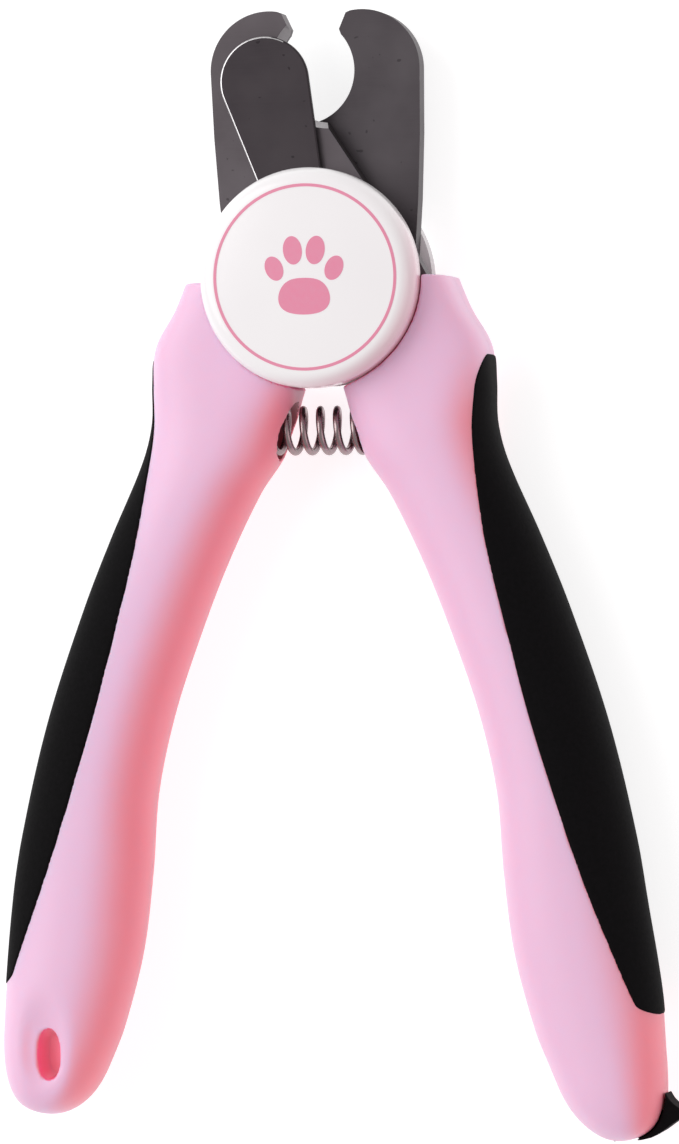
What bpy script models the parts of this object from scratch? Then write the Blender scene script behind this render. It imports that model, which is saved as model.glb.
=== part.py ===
"""Scissor nail clipper with two moulded handles.

Two notched steel blades cross at a capped pivot. Each blade has a tang that is clamped
between the two shells of the opposite handle. A coil spring between the handles holds
the jaws open, a thin nail guard swings in front of the notch, and a nail file slides
into the end of the right handle.

The clipper lies on its back. +Z is its front, +Y runs towards the blade tips, and the
origin is on the pivot axis at the flat back of the rear cap. Handles are drawn in their
own frame: x outwards from the centre line, and distance d from the pivot along the
handle. Run with: blender --background --python part.py
"""

from math import acos, atan2, copysign, cos, pi, radians, sin

import bmesh
import bpy
from mathutils import Matrix, Vector

MM = 0.001
LEFT = -1
RIGHT = 1
FRONT = 1
BACK = -1

# Layers, from the rear cap's flat back at z = 0 to the front cap
GAP = 0.3 * MM
MID_Z = 9.0 * MM
BLADE_THICKNESS = 3.5 * MM
GUARD_THICKNESS = 1.0 * MM
WASHER_THICKNESS = 0.6 * MM
FRONT_CAP_TOP_Z = 23.2 * MM

REAR_BLADE_Z = (MID_Z - GAP / 2 - BLADE_THICKNESS, MID_Z - GAP / 2)
FRONT_BLADE_Z = (MID_Z + GAP / 2, MID_Z + GAP / 2 + BLADE_THICKNESS)
GUARD_Z = (FRONT_BLADE_Z[1] + GAP, FRONT_BLADE_Z[1] + GAP + GUARD_THICKNESS)
FRONT_WASHER_Z = (GUARD_Z[1] + GAP, GUARD_Z[1] + GAP + WASHER_THICKNESS)
REAR_WASHER_Z = (REAR_BLADE_Z[0] - GAP - WASHER_THICKNESS, REAR_BLADE_Z[0] - GAP)

# Pivot
OPEN_HALF_ANGLE = radians(15.8)
JAW_TRAVEL = radians(22.0)
BOLT_RADIUS = 2.5 * MM
BOLT_HEAD_RADIUS = 4.5 * MM
BOLT_HEAD_HEIGHT = 2.7 * MM
BUSH_RADIUS = 3.5 * MM
WASHER_RADIUS = 5.4 * MM
NUT_RADIUS = 4.6 * MM
NUT_Z = (1.6 * MM, 4.0 * MM)
FRONT_CAP_RADIUS = 16.6 * MM
FRONT_CAP_SHOULDER = 2.6 * MM
FRONT_CAP_CROWN = 0.5 * MM
FRONT_CAP_RIM_Z = 17.2 * MM
FRONT_CAP_TAPER = 0.8 * MM
REAR_CAP_RADIUS = 16.0 * MM
REAR_CAP_EDGE = 2.4 * MM
CAP_WALL = 1.4 * MM
CAP_CEILING = 1.8 * MM
CAP_FLOOR = 1.2 * MM
SLEEVE_WALL = 1.2 * MM
STOP_PIN_RADIUS = 1.3 * MM
STOP_PIN_REACH = 9.6 * MM
STOP_PIN_ANGLE = radians(200)

# Blades, drawn for the jaw whose tip is on the +X side at rest
HEAD_TILT = radians(1.4)
NOTCH_CENTRE = (-2.5 * MM, 32.0 * MM)
NOTCH_RADIUS = 8.2 * MM
NOTCH_ARC = (radians(-83.5), radians(40))
TIP_CENTRE = (6.8 * MM, 31.95 * MM)
TIP_RADIUS = 9.0 * MM
TIP_CORNERS = ((3.5, 38.1), (4.6, 40.55))
BLADE_BACK = ((15.55, 22.0), (15.0, 12.0))
BLADE_HEEL = ((-18.2, -1.0), (-15.4, 3.2), (-6.7, 15.25))
TANG = ((9.3, 19.5), (9.3, 38.0), (10.6, 41.0), (14.8, 41.0), (16.0, 38.0), (16.4, 30.0),
        (17.5, 20.0), (17.8, 9.0))
HUB_RADIUS = 14.2 * MM
TANG_SCREWS = ((14.0, 21.5), (12.6, 36.0))

# Nail guard
GUARD_TILT = radians(14.9)
GUARD_HEAD_DISTANCE = 31.1 * MM
GUARD_HEAD_RADIUS = 6.85 * MM
GUARD_HUB_RADIUS = 8.2 * MM
GUARD_NECK = (4.65 * MM, 13.5 * MM)

# Handles: (distance along the handle, value) in millimetres
HANDLE_TOP = {LEFT: 6.3, RIGHT: 5.6}
HANDLE_LENGTH = {LEFT: 134.1, RIGHT: 137.8}
END_SPREAD = {LEFT: -0.7, RIGHT: 0.5}
END_SPREAD_RANGE = (100, 122)
INNER_EDGE = ((5, -1.0), (17, -1.0), (27, -1.0), (34, 1.1), (46, 3.2), (58, 4.4), (70, 5.0),
              (82, 4.3), (94, 1.9), (106, 0.1), (118, -0.1), (124, 0.55), (130, 1.4), (137, 3.0))
OUTER_EDGE = ((5, 20.6), (10, 20.9), (16.5, 21.9), (22, 20.9), (28, 19.5), (34, 19.4), (46, 21.1),
              (58, 22.4), (76, 23.3), (94, 22.6), (106, 21.2), (118, 19.4), (130, 16.9), (137, 16.4))
HALF_DEPTH = ((5, 9.0), (30, 9.0), (48, 8.6), (76, 8.9), (100, 8.6), (118, 8.2), (137, 8.0))
CORNER_POWER = ((5, 3.6), (25, 3.3), (45, 2.6), (80, 2.35), (137, 2.3))
GRIP_EDGE = ((18.5, 21.5), (22, 20.2), (28, 18.0), (34, 16.8), (46, 15.3), (58, 14.8), (72, 14.5),
             (88, 14.9), (100, 15.6), (112, 16.8), (120.5, 18.6))
GRIP_SHIFT = {LEFT: 0.7, RIGHT: -0.5}
GRIP_MIN_WIDTH = 0.6
END_ROUNDING = 11.0
END_POWER = 2.6
TOP_SLOPE = 0.3
TOP_SLOPE_CENTRE = 18.0
TOP_SLOPE_LENGTH = 11.0
ARC_RADIUS = 17.0 * MM
ARC_WALL = 2.4 * MM
CAVITY_WALLS = (2.4, 4.0, 3.4)
CAVITY_END = {LEFT: 112.0, RIGHT: 128.0}
CAVITY_TOP = 8.0
GRIP_THICKNESS = 1.8
GRIP_START = 18.5
GRIP_END = 120.5
SECTION_STEPS = 10
GRIP_STEPS = 8

# Coil spring between the handles
SPRING_Y = -22.8 * MM
SPRING_WIRE_RADIUS = 0.5 * MM
SPRING_COIL_RADIUS = 3.3 * MM
SPRING_HALF_LENGTH = 10.6 * MM
SPRING_TURNS = 8
POCKET_RADIUS = 4.3 * MM
POCKET_WALL = 1.8 * MM
POCKET_DEPTH = 11.0 * MM

# Handle screws
SCREW_RADIUS = 1.1 * MM
SCREW_HEAD_RADIUS = 2.3 * MM
SCREW_BOSS_RADIUS = 3.2 * MM
SCREW_HEAD_HEIGHT = 1.5 * MM
TANG_SCREW_Z = 1.4 * MM
LOWER_SCREW_Z = 3.0 * MM
SCREW_TOP_Z = 14.0 * MM
SCREW_RECESS = 0.8 * MM
LOWER_SCREW = {LEFT: (8.4, 104.0), RIGHT: (4.8, 106.0)}

# Hanging hole in the left handle, and the nail file in the right one
HOLE_PLACE = (8.6, 124.2)
HOLE_HALF_WIDTH = 1.9 * MM
HOLE_LENGTH = 8.0 * MM
FILE_X = (8.3, 14.0)
FILE_D = (66.0, 127.0)
FILE_THICKNESS = 1.2
PLUG_X = (6.9, 15.3)
PLUG_D = (123.0, 136.0)
MOUTH_START = 117.0
PLUG_DEPTH = 6.6
TAB_DEPTH = 5.6
TAB_TAIL = ((8.9, -138.0), (12.0, -138.6), (14.6, -138.0), (17.0, -137.1), (19.4, -136.2), (19.2, -135.4),
            (18.3, -134.2))

# Base colours
PINK = (0.83, 0.50, 0.70)
BLACK = (0.012, 0.012, 0.013)
WHITE = (0.90, 0.88, 0.89)
STEEL = (0.10, 0.09, 0.095)
BRIGHT_STEEL = (0.55, 0.54, 0.53)


# ---------------------------------------------------------------- scene helpers

def clear_scene():
    for item in list(bpy.data.objects):
        bpy.data.objects.remove(item, do_unlink=True)


def new_collection(name):
    collection = bpy.data.collections.new(name)
    bpy.context.scene.collection.children.link(collection)
    return collection


def new_material(name, color, roughness, metallic=0.0):
    material = bpy.data.materials.new(name)
    material.use_nodes = True
    shader = material.node_tree.nodes["Principled BSDF"]
    shader.inputs["Base Color"].default_value = (*color, 1.0)
    shader.inputs["Roughness"].default_value = roughness
    shader.inputs["Metallic"].default_value = metallic
    return material


def new_object(name, mesh, collection, parent=None):
    item = bpy.data.objects.new(name, mesh)
    collection.objects.link(item)
    item.parent = parent
    return item


def add_part(name, mesh, color, roughness, metallic=0.0, parent=None):
    item = new_object(name, mesh, PARTS, parent)
    mesh.materials.append(new_material(name, color, roughness, metallic))
    return item


def add_cutter(name, mesh):
    item = new_object(name, mesh, CUTTERS)
    item.hide_render = True
    item.display_type = "WIRE"
    return item


def add_empty(name, location=(0, 0, 0), turn=0.0, parent=None):
    item = new_object(name, None, PARTS, parent)
    item.location = location
    item.rotation_euler.z = turn
    item.empty_display_size = 10 * MM
    return item


def boolean(item, tool, operation="DIFFERENCE"):
    modifier = item.modifiers.new(f"{operation.lower()} {tool.name}", "BOOLEAN")
    modifier.operation = operation
    modifier.object = tool
    modifier.solver = "EXACT"


# ---------------------------------------------------------------- mesh helpers

def finish_mesh(bm, name):
    """Turn a bmesh into a mesh with outward faces and smooth round sides."""
    bmesh.ops.recalc_face_normals(bm, faces=bm.faces)
    mesh = bpy.data.meshes.new(name)
    bm.to_mesh(mesh)
    bm.free()
    mesh.shade_smooth()
    mesh.set_sharp_from_angle(angle=radians(35))
    return mesh


def cylinder_mesh(name, radius, low, high, centre=(0, 0), segments=24):
    bm = bmesh.new()
    middle = Matrix.Translation((centre[0], centre[1], (low + high) / 2))
    bmesh.ops.create_cone(bm, cap_ends=True, segments=segments, radius1=radius,
                          radius2=radius, depth=high - low, matrix=middle)
    return finish_mesh(bm, name)


def box_mesh(name, low, high):
    bm = bmesh.new()
    size = Vector(high) - Vector(low)
    middle = (Vector(high) + Vector(low)) / 2
    place = Matrix.Translation(middle) @ Matrix.Diagonal((*size, 1))
    bmesh.ops.create_cube(bm, size=1, matrix=place)
    return finish_mesh(bm, name)


def plate_mesh(name, outlines, low, high):
    """A flat plate from a filled 2D curve: the first outline, less the others."""
    curve = bpy.data.curves.new(name, "CURVE")
    curve.dimensions = "2D"
    curve.fill_mode = "BOTH"
    curve.extrude = (high - low) / 2
    for outline in outlines:
        spline = curve.splines.new("POLY")
        spline.points.add(len(outline) - 1)
        for point, (x, y) in zip(spline.points, outline):
            point.co = (x, y, 0, 1)
        spline.use_cyclic_u = True
    holder = bpy.data.objects.new(name, curve)
    bpy.context.scene.collection.objects.link(holder)
    graph = bpy.context.evaluated_depsgraph_get()
    flat = bpy.data.meshes.new_from_object(holder.evaluated_get(graph))
    bpy.data.objects.remove(holder)
    bpy.data.curves.remove(curve)
    bm = bmesh.new()
    bm.from_mesh(flat)
    bpy.data.meshes.remove(flat)
    bmesh.ops.remove_doubles(bm, verts=bm.verts, dist=0.001 * MM)
    bmesh.ops.translate(bm, verts=bm.verts, vec=(0, 0, (low + high) / 2))
    return finish_mesh(bm, name)


def turned(item, segments):
    """Sweep an object's profile, drawn in its XZ plane, once round its Z axis."""
    screw = item.modifiers.new("turned", "SCREW")
    screw.steps = segments
    screw.render_steps = segments
    screw.use_merge_vertices = True
    screw.merge_threshold = 0.001 * MM
    screw.use_smooth_shade = True


def profile_mesh(name, profile, closed=False):
    bm = bmesh.new()
    verts = [bm.verts.new((x, 0, z)) for x, z in profile]
    for first, second in zip(verts, verts[1:]):
        bm.edges.new((first, second))
    if closed:
        bm.edges.new((verts[-1], verts[0]))
    mesh = bpy.data.meshes.new(name)
    bm.to_mesh(mesh)
    bm.free()
    return mesh


def loft_mesh(name, rings):
    """Skin a list of closed rings that all have the same number of points."""
    bm = bmesh.new()
    rows = [[bm.verts.new(point) for point in ring] for ring in rings]
    count = len(rows[0])
    for row, following in zip(rows, rows[1:]):
        for index in range(count):
            after = (index + 1) % count
            bm.faces.new((row[index], row[after], following[after], following[index]))
    bm.faces.new(rows[0])
    bm.faces.new(rows[-1])
    return finish_mesh(bm, name)


def circle(radius, centre=(0, 0), segments=24):
    angles = [2 * pi * step / segments for step in range(segments)]
    return [(centre[0] + radius * cos(a), centre[1] + radius * sin(a)) for a in angles]


def arc(centre, radius, start, end, steps):
    angles = [start + (end - start) * step / steps for step in range(steps + 1)]
    return [(centre[0] + radius * cos(a), centre[1] + radius * sin(a)) for a in angles]


def in_metres(points):
    return [(x * MM, y * MM) for x, y in points]


def stadium(centre, half_width, length, steps=8):
    """An upright slot outline with round ends."""
    reach = length / 2 - half_width
    top = arc((centre[0], centre[1] + reach), half_width, 0, pi, steps)
    bottom = arc((centre[0], centre[1] - reach), half_width, pi, 2 * pi, steps)
    return top + bottom


def curved_slot(reach, half_width, start, end, steps=6):
    """A slot outline with round ends that follows an arc about the pivot."""
    outer = arc((0, 0), reach + half_width, start, end, steps)
    inner = arc((0, 0), reach - half_width, end, start, steps)
    end_centre = (reach * cos(end), reach * sin(end))
    start_centre = (reach * cos(start), reach * sin(start))
    end_cap = arc(end_centre, half_width, end, end + pi, steps)
    start_cap = arc(start_centre, half_width, start + pi, start + 2 * pi, steps)
    return outer[:-1] + end_cap[:-1] + inner[:-1] + start_cap[:-1]


def grown(outline, distance):
    """The anticlockwise outline moved outwards by a distance."""
    result = []
    count = len(outline)
    for index, point in enumerate(outline):
        before = Vector(outline[index - 1])
        after = Vector(outline[(index + 1) % count])
        here = Vector(point)
        first = (here - before).normalized()
        second = (after - here).normalized()
        normal = Vector((first.y + second.y, -first.x - second.x)).normalized()
        stretch = max(0.5, normal.dot(Vector((first.y, -first.x))))
        result.append(tuple(here + normal * distance / stretch))
    return result


def smooth_value(points, position):
    """Read a smooth curve through (position, value) points, flat beyond its ends."""
    if position <= points[0][0]:
        return points[0][1]
    if position >= points[-1][0]:
        return points[-1][1]
    slopes = []
    for index in range(len(points)):
        low = points[max(index - 1, 0)]
        high = points[min(index + 1, len(points) - 1)]
        slopes.append((high[1] - low[1]) / (high[0] - low[0]))
    index = max(i for i, point in enumerate(points) if point[0] <= position)
    start, end = points[index], points[index + 1]
    span = end[0] - start[0]
    t = (position - start[0]) / span
    rise = slopes[index] * span * (t ** 3 - 2 * t ** 2 + t)
    settle = slopes[index + 1] * span * (t ** 3 - t ** 2)
    blend = 3 * t ** 2 - 2 * t ** 3
    return start[1] + (end[1] - start[1]) * blend + rise + settle


# ---------------------------------------------------------------- handle shape

def end_taper(side, distance):
    """How far the section has closed towards the rounded end: 1 is not at all."""
    start = HANDLE_LENGTH[side] - END_ROUNDING
    if distance <= start:
        return 1.0
    share = min(1.0, (distance - start) / END_ROUNDING)
    return (1 - share ** END_POWER) ** (1 / END_POWER)


def end_share(distance):
    """0 above the handle's lower part, rising smoothly to 1 along it."""
    low, high = END_SPREAD_RANGE
    share = min(1.0, max(0.0, (distance - low) / (high - low)))
    return share * share * (3 - 2 * share)


def handle_size(side, distance):
    """Centre, half width, half depth and corner power of a section, in millimetres."""
    inner = smooth_value(INNER_EDGE, distance)
    outer = smooth_value(OUTER_EDGE, distance) + END_SPREAD[side] * end_share(distance)
    taper = end_taper(side, distance)
    centre = (inner + outer) / 2
    half_width = (outer - inner) / 2 * taper
    half_depth = smooth_value(HALF_DEPTH, distance) * taper ** 0.7
    return centre, half_width, half_depth, smooth_value(CORNER_POWER, distance)


def top_shift(side, x, distance):
    """The upper sections lean, so that the handle's top edge is level at rest."""
    share = min(1.0, max(0.0, (distance - HANDLE_TOP[side]) / TOP_SLOPE_LENGTH))
    fade = 1 - share * share * (3 - 2 * share)
    return -TOP_SLOPE * (x - TOP_SLOPE_CENTRE) * fade


def handle_point(side, x, distance, z):
    """A point of the handle's own frame, in metres, mirrored for the left handle."""
    along = -distance + top_shift(side, x, distance)
    return Vector((side * x * MM, along * MM, MID_Z + z * MM))


def handle_place(side, x, distance):
    """The XY position at rest of a point in the handle's own frame."""
    turn = Matrix.Rotation(side * OPEN_HALF_ANGLE, 2)
    return turn @ Vector((side * x * MM, -distance * MM))


def end_stations(side):
    shares = (0.0, 0.3, 0.52, 0.7, 0.84, 0.94, 0.99)
    return [HANDLE_LENGTH[side] - END_ROUNDING * (1 - share) for share in shares]


def handle_stations(side):
    upper = [HANDLE_TOP[side], 9.5, 13, 16.5, 20, 24, 28, 32, 37, 43]
    lower = [50, 58, 66, 74, 82, 90, 98, 106, 113, 119]
    return upper + lower + end_stations(side)


def superellipse(centre, half_width, half_depth, power, angle):
    across = copysign(abs(cos(angle)) ** (2 / power), cos(angle))
    up = copysign(abs(sin(angle)) ** (2 / power), sin(angle))
    return centre + half_width * across, half_depth * up


def half_section(side, face, distance, walls, base):
    """Half a handle section, closed by a flat base at a height above the mid plane."""
    centre, half_width, half_depth, power = handle_size(side, distance)
    inner_wall, outer_wall, depth_wall = walls
    centre += (inner_wall - outer_wall) / 2
    half_width -= (inner_wall + outer_wall) / 2
    half_depth -= depth_wall
    points = []
    for step in range(SECTION_STEPS + 1):
        angle = pi * step / SECTION_STEPS
        x, z = superellipse(centre, half_width, half_depth, power, angle)
        if step in (0, SECTION_STEPS):
            z = base
        points.append(handle_point(side, x, distance, face * z))
    return points


def grip_edge(side, distance):
    """How far out the grip starts on the front and back faces."""
    centre, half_width, _, _ = handle_size(side, distance)
    edge = smooth_value(GRIP_EDGE, distance) + GRIP_SHIFT[side]
    return min(edge, centre + half_width - GRIP_MIN_WIDTH)


def grip_section(side, distance, edge_margin, outer_inset, inner_inset):
    """A C-shaped section that wraps the handle's outer side."""
    centre, half_width, half_depth, power = handle_size(side, distance)
    across = (grip_edge(side, distance) - edge_margin - centre) / half_width
    limit = acos(copysign(abs(across) ** (power / 2), across))
    angles = [limit * (2 * step / GRIP_STEPS - 1) for step in range(GRIP_STEPS + 1)]
    points = []
    for inset, sweep in ((outer_inset, angles), (inner_inset, reversed(angles))):
        for angle in sweep:
            x, z = superellipse(centre, half_width - inset, half_depth - inset, power, angle)
            points.append(handle_point(side, x, distance, z))
    return points


def grip_stations(start, end):
    return [start, 22, 26, 30, 35, 41, 48, 56, 65, 74, 83, 92, 100, 107, 113, 117.5, end]


def grip_mesh(name, side):
    stations = grip_stations(GRIP_START, GRIP_END)
    return loft_mesh(name, [grip_section(side, d, 0, 0, GRIP_THICKNESS) for d in stations])


def grip_groove_mesh(name, side):
    """The recess that the grip lies in, with clearance on its edges and floor."""
    margin = GAP / MM
    stations = grip_stations(GRIP_START - margin, GRIP_END + margin)
    floor = GRIP_THICKNESS + margin
    return loft_mesh(name, [grip_section(side, d, margin, -1.5, floor) for d in stations])


# ---------------------------------------------------------------- blades and guard

def blade_outline(tilt):
    """Anticlockwise outline of the blade whose tip is at +X; its tang runs to -X."""
    notch = arc(NOTCH_CENTRE, NOTCH_RADIUS, *NOTCH_ARC, 14)
    nose = arc(TIP_CENTRE, TIP_RADIUS, radians(100), 0, 8)
    turn = Matrix.Rotation(tilt, 2)
    head = [*notch, *in_metres(TIP_CORNERS), *nose, *in_metres(BLADE_BACK)]
    head = [tuple(turn @ Vector(point)) for point in head]
    hub = arc((0, 0), HUB_RADIUS, radians(8), radians(-126), 12)
    tang = [tuple(handle_place(LEFT, x, d)) for x, d in TANG]
    clockwise = [*head, *hub, *tang, *in_metres(BLADE_HEEL)]
    return clockwise[::-1]


def rear_blade_outline():
    return blade_outline(HEAD_TILT)


def front_blade_outline():
    return [(-x, y) for x, y in reversed(blade_outline(-HEAD_TILT))]


def guard_outline():
    """A paddle from the pivot to its round head, drawn upright and then tilted."""
    head = arc((0, GUARD_HEAD_DISTANCE), GUARD_HEAD_RADIUS, radians(-8), radians(188), 16)
    hub = arc((0, 0), GUARD_HUB_RADIUS, radians(140), radians(400), 20)
    neck_x, neck_y = GUARD_NECK
    turn = Matrix.Rotation(GUARD_TILT, 2)
    outline = [*head, (-neck_x, neck_y), *hub, (neck_x, neck_y)]
    return [tuple(turn @ Vector(point)) for point in outline]


def stop_pin_place(angle):
    return (STOP_PIN_REACH * cos(angle), STOP_PIN_REACH * sin(angle))


def rear_blade(parent):
    screws = [tuple(handle_place(LEFT, x, d)) for x, d in TANG_SCREWS]
    holes = [circle(BUSH_RADIUS + GAP)]
    holes.append(circle(STOP_PIN_RADIUS + GAP, stop_pin_place(STOP_PIN_ANGLE), 16))
    holes.extend(circle(SCREW_RADIUS + GAP, place, 12) for place in screws)
    mesh = plate_mesh("rear_blade", [rear_blade_outline(), *holes], *REAR_BLADE_Z)
    return add_part("rear_blade", mesh, STEEL, 0.35, 1.0, parent)


def front_blade(parent):
    screws = [tuple(handle_place(RIGHT, x, d)) for x, d in TANG_SCREWS]
    start, end = STOP_PIN_ANGLE, STOP_PIN_ANGLE + JAW_TRAVEL
    holes = [circle(BUSH_RADIUS + GAP)]
    holes.append(curved_slot(STOP_PIN_REACH, STOP_PIN_RADIUS + GAP, start, end))
    holes.extend(circle(SCREW_RADIUS + GAP, place, 12) for place in screws)
    mesh = plate_mesh("front_blade", [front_blade_outline(), *holes], *FRONT_BLADE_Z)
    return add_part("front_blade", mesh, STEEL, 0.35, 1.0, parent)


def stop_pin(parent):
    """Pressed into the rear blade; runs in the front blade's curved slot."""
    low = REAR_BLADE_Z[0] + GAP
    high = FRONT_BLADE_Z[1] - GAP
    place = stop_pin_place(STOP_PIN_ANGLE)
    mesh = cylinder_mesh("stop_pin", STOP_PIN_RADIUS, low, high, place, 16)
    return add_part("stop_pin", mesh, BRIGHT_STEEL, 0.3, 1.0, parent)


def guard_plate(parent):
    outlines = [guard_outline(), circle(BUSH_RADIUS + GAP)]
    mesh = plate_mesh("guard_plate", outlines, *GUARD_Z)
    return add_part("guard_plate", mesh, STEEL, 0.3, 1.0, parent)


# ---------------------------------------------------------------- pivot

def ring_part(name, inner, outer, low, high, parent):
    profile = [(inner, high), (outer, high), (outer, low), (inner, low)]
    item = add_part(name, profile_mesh(name, profile, closed=True), BRIGHT_STEEL, 0.3, 1.0, parent)
    turned(item, 24)
    return item


def hex_socket(name, radius, low, high):
    return add_cutter(name, cylinder_mesh(name, radius, low, high, segments=6))


def pivot_bolt(parent):
    head_low = FRONT_WASHER_Z[1] + GAP
    head_high = head_low + BOLT_HEAD_HEIGHT
    edge = 0.5 * MM
    profile = [(0, head_high), (BOLT_HEAD_RADIUS - edge, head_high),
               (BOLT_HEAD_RADIUS, head_high - edge), (BOLT_HEAD_RADIUS, head_low),
               (BOLT_RADIUS, head_low), (BOLT_RADIUS, NUT_Z[0]), (0, NUT_Z[0])]
    item = add_part("pivot_bolt", profile_mesh("pivot_bolt", profile), BRIGHT_STEEL, 0.3, 1.0, parent)
    turned(item, 24)
    boolean(item, hex_socket("bolt_socket", 2.3 * MM, head_high - 1.6 * MM, head_high + MM))
    return item


def pivot_nut(parent):
    mesh = cylinder_mesh("pivot_nut", NUT_RADIUS, *NUT_Z, segments=6)
    item = add_part("pivot_nut", mesh, BRIGHT_STEEL, 0.3, 1.0, parent)
    bore = cylinder_mesh("nut_bore", BOLT_RADIUS + GAP, NUT_Z[0] - MM, NUT_Z[1] + MM)
    boolean(item, add_cutter("nut_bore", bore))
    return item


def front_cap(parent):
    """A crowned cup over the bolt head, with an inner sleeve that grips the head."""
    low = FRONT_WASHER_Z[0]
    ceiling = FRONT_CAP_TOP_Z - CAP_CEILING
    shoulder_z = FRONT_CAP_TOP_Z - FRONT_CAP_CROWN - FRONT_CAP_SHOULDER
    flat = FRONT_CAP_RADIUS - FRONT_CAP_SHOULDER
    inside = FRONT_CAP_RADIUS - CAP_WALL
    sleeve = BOLT_HEAD_RADIUS + GAP
    sleeve_low = FRONT_WASHER_Z[1] + GAP + 0.4 * MM
    profile = [(0, FRONT_CAP_TOP_Z), (flat / 2, FRONT_CAP_TOP_Z - FRONT_CAP_CROWN / 4)]
    profile += arc((flat, shoulder_z), FRONT_CAP_SHOULDER, pi / 2, 0, 6)
    profile += [(FRONT_CAP_RADIUS, FRONT_CAP_RIM_Z), (FRONT_CAP_RADIUS - FRONT_CAP_TAPER, low)]
    profile += [(inside - FRONT_CAP_TAPER, low), (inside, FRONT_CAP_RIM_Z), (inside, shoulder_z)]
    profile += [(inside - FRONT_CAP_SHOULDER / 2, ceiling), (sleeve + SLEEVE_WALL, ceiling)]
    profile += [(sleeve + SLEEVE_WALL, sleeve_low), (sleeve, sleeve_low), (sleeve, ceiling)]
    profile += [(0, ceiling)]
    item = add_part("front_cap", profile_mesh("front_cap", profile), WHITE, 0.25, 0.0, parent)
    turned(item, 36)
    return item


def rear_cap(parent):
    """A shallow cup under the nut; its flat back is what the clipper lies on."""
    high = REAR_BLADE_Z[0] - GAP
    sleeve = NUT_RADIUS + GAP
    inside = REAR_CAP_RADIUS - CAP_WALL
    profile = [(0, CAP_FLOOR), (sleeve, CAP_FLOOR), (sleeve, NUT_Z[1])]
    profile += [(sleeve + SLEEVE_WALL, NUT_Z[1]), (sleeve + SLEEVE_WALL, CAP_FLOOR)]
    profile += [(inside - REAR_CAP_EDGE / 2, CAP_FLOOR), (inside, CAP_FLOOR + REAR_CAP_EDGE / 2)]
    profile += [(inside, high), (REAR_CAP_RADIUS, high)]
    profile += arc((REAR_CAP_RADIUS - REAR_CAP_EDGE, REAR_CAP_EDGE), REAR_CAP_EDGE, 0, -pi / 2, 5)
    profile += [(0, 0)]
    item = add_part("rear_cap", profile_mesh("rear_cap", profile), WHITE, 0.25, 0.0, parent)
    turned(item, 36)
    return item


# ---------------------------------------------------------------- spring

def coil_spring(parent):
    """A compression spring along X; its ends sit in the two handles' pockets."""
    curve = bpy.data.curves.new("coil_spring", "CURVE")
    curve.dimensions = "3D"
    curve.bevel_depth = SPRING_WIRE_RADIUS
    curve.bevel_resolution = 1
    curve.use_fill_caps = True
    steps = SPRING_TURNS * 12
    reach = SPRING_HALF_LENGTH - SPRING_WIRE_RADIUS
    spline = curve.splines.new("POLY")
    spline.points.add(steps)
    for step, point in enumerate(spline.points):
        share = step / steps
        angle = 2 * pi * SPRING_TURNS * share
        y = SPRING_Y + SPRING_COIL_RADIUS * cos(angle)
        z = MID_Z + SPRING_COIL_RADIUS * sin(angle)
        point.co = (reach * (2 * share - 1), y, z, 1)
    item = new_object("coil_spring", curve, PARTS, parent)
    curve.materials.append(new_material("coil_spring", BRIGHT_STEEL, 0.3, 1.0))
    return item


# ---------------------------------------------------------------- handles

def side_name(side):
    return {LEFT: "left", RIGHT: "right"}[side]


def in_handle(item, side):
    """Turn an object that is drawn in a handle's own frame into its place at rest."""
    item.rotation_euler.z = side * OPEN_HALF_ANGLE
    return item


def spring_cutter(name, side, radius, depth):
    bm = bmesh.new()
    place = Matrix.Translation((side * depth / 2, SPRING_Y, MID_Z)) @ Matrix.Rotation(pi / 2, 4, "Y")
    bmesh.ops.create_cone(bm, cap_ends=True, segments=20, radius1=radius, radius2=radius,
                          depth=depth, matrix=place)
    return add_cutter(name, finish_mesh(bm, name))


def screw_places(side):
    """Handle screws from the pivot to the handle's end, as (x, distance, lowest z)."""
    tang_screws = [(x, distance, TANG_SCREW_Z) for x, distance in TANG_SCREWS]
    return [*tang_screws, (*LOWER_SCREW[side], LOWER_SCREW_Z)]


def screw_cutter(name, side, place):
    """Shank hole and the counterbore for the head, open at the handle's back."""
    x, distance, low = place
    shank = SCREW_RADIUS + GAP
    head = SCREW_HEAD_RADIUS + GAP
    top = SCREW_TOP_Z + GAP
    step = low + SCREW_HEAD_HEIGHT + GAP
    profile = [(0, top), (shank, top), (shank, step), (head, step), (head, -MM), (0, -MM)]
    item = add_cutter(name, profile_mesh(name, profile))
    item.location = (*handle_place(side, x, distance), 0)
    turned(item, 16)
    return item


def cavity_cutter(side, face, keep_outs):
    """The hollow of one shell, less the walls and bosses that stand in it."""
    name = f"{side_name(side)}_{'front' if face == FRONT else 'back'}_cavity"
    inside = [d for d in handle_stations(side) if CAVITY_TOP + 1 < d < CAVITY_END[side] - 1]
    stations = [CAVITY_TOP, *inside, CAVITY_END[side]]
    past_mid = -2 * GAP / MM
    rings = [half_section(side, face, d, CAVITY_WALLS, past_mid) for d in stations]
    item = in_handle(add_cutter(name, loft_mesh(name, rings)), side)
    for tool in keep_outs:
        boolean(item, tool)
    return item


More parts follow.
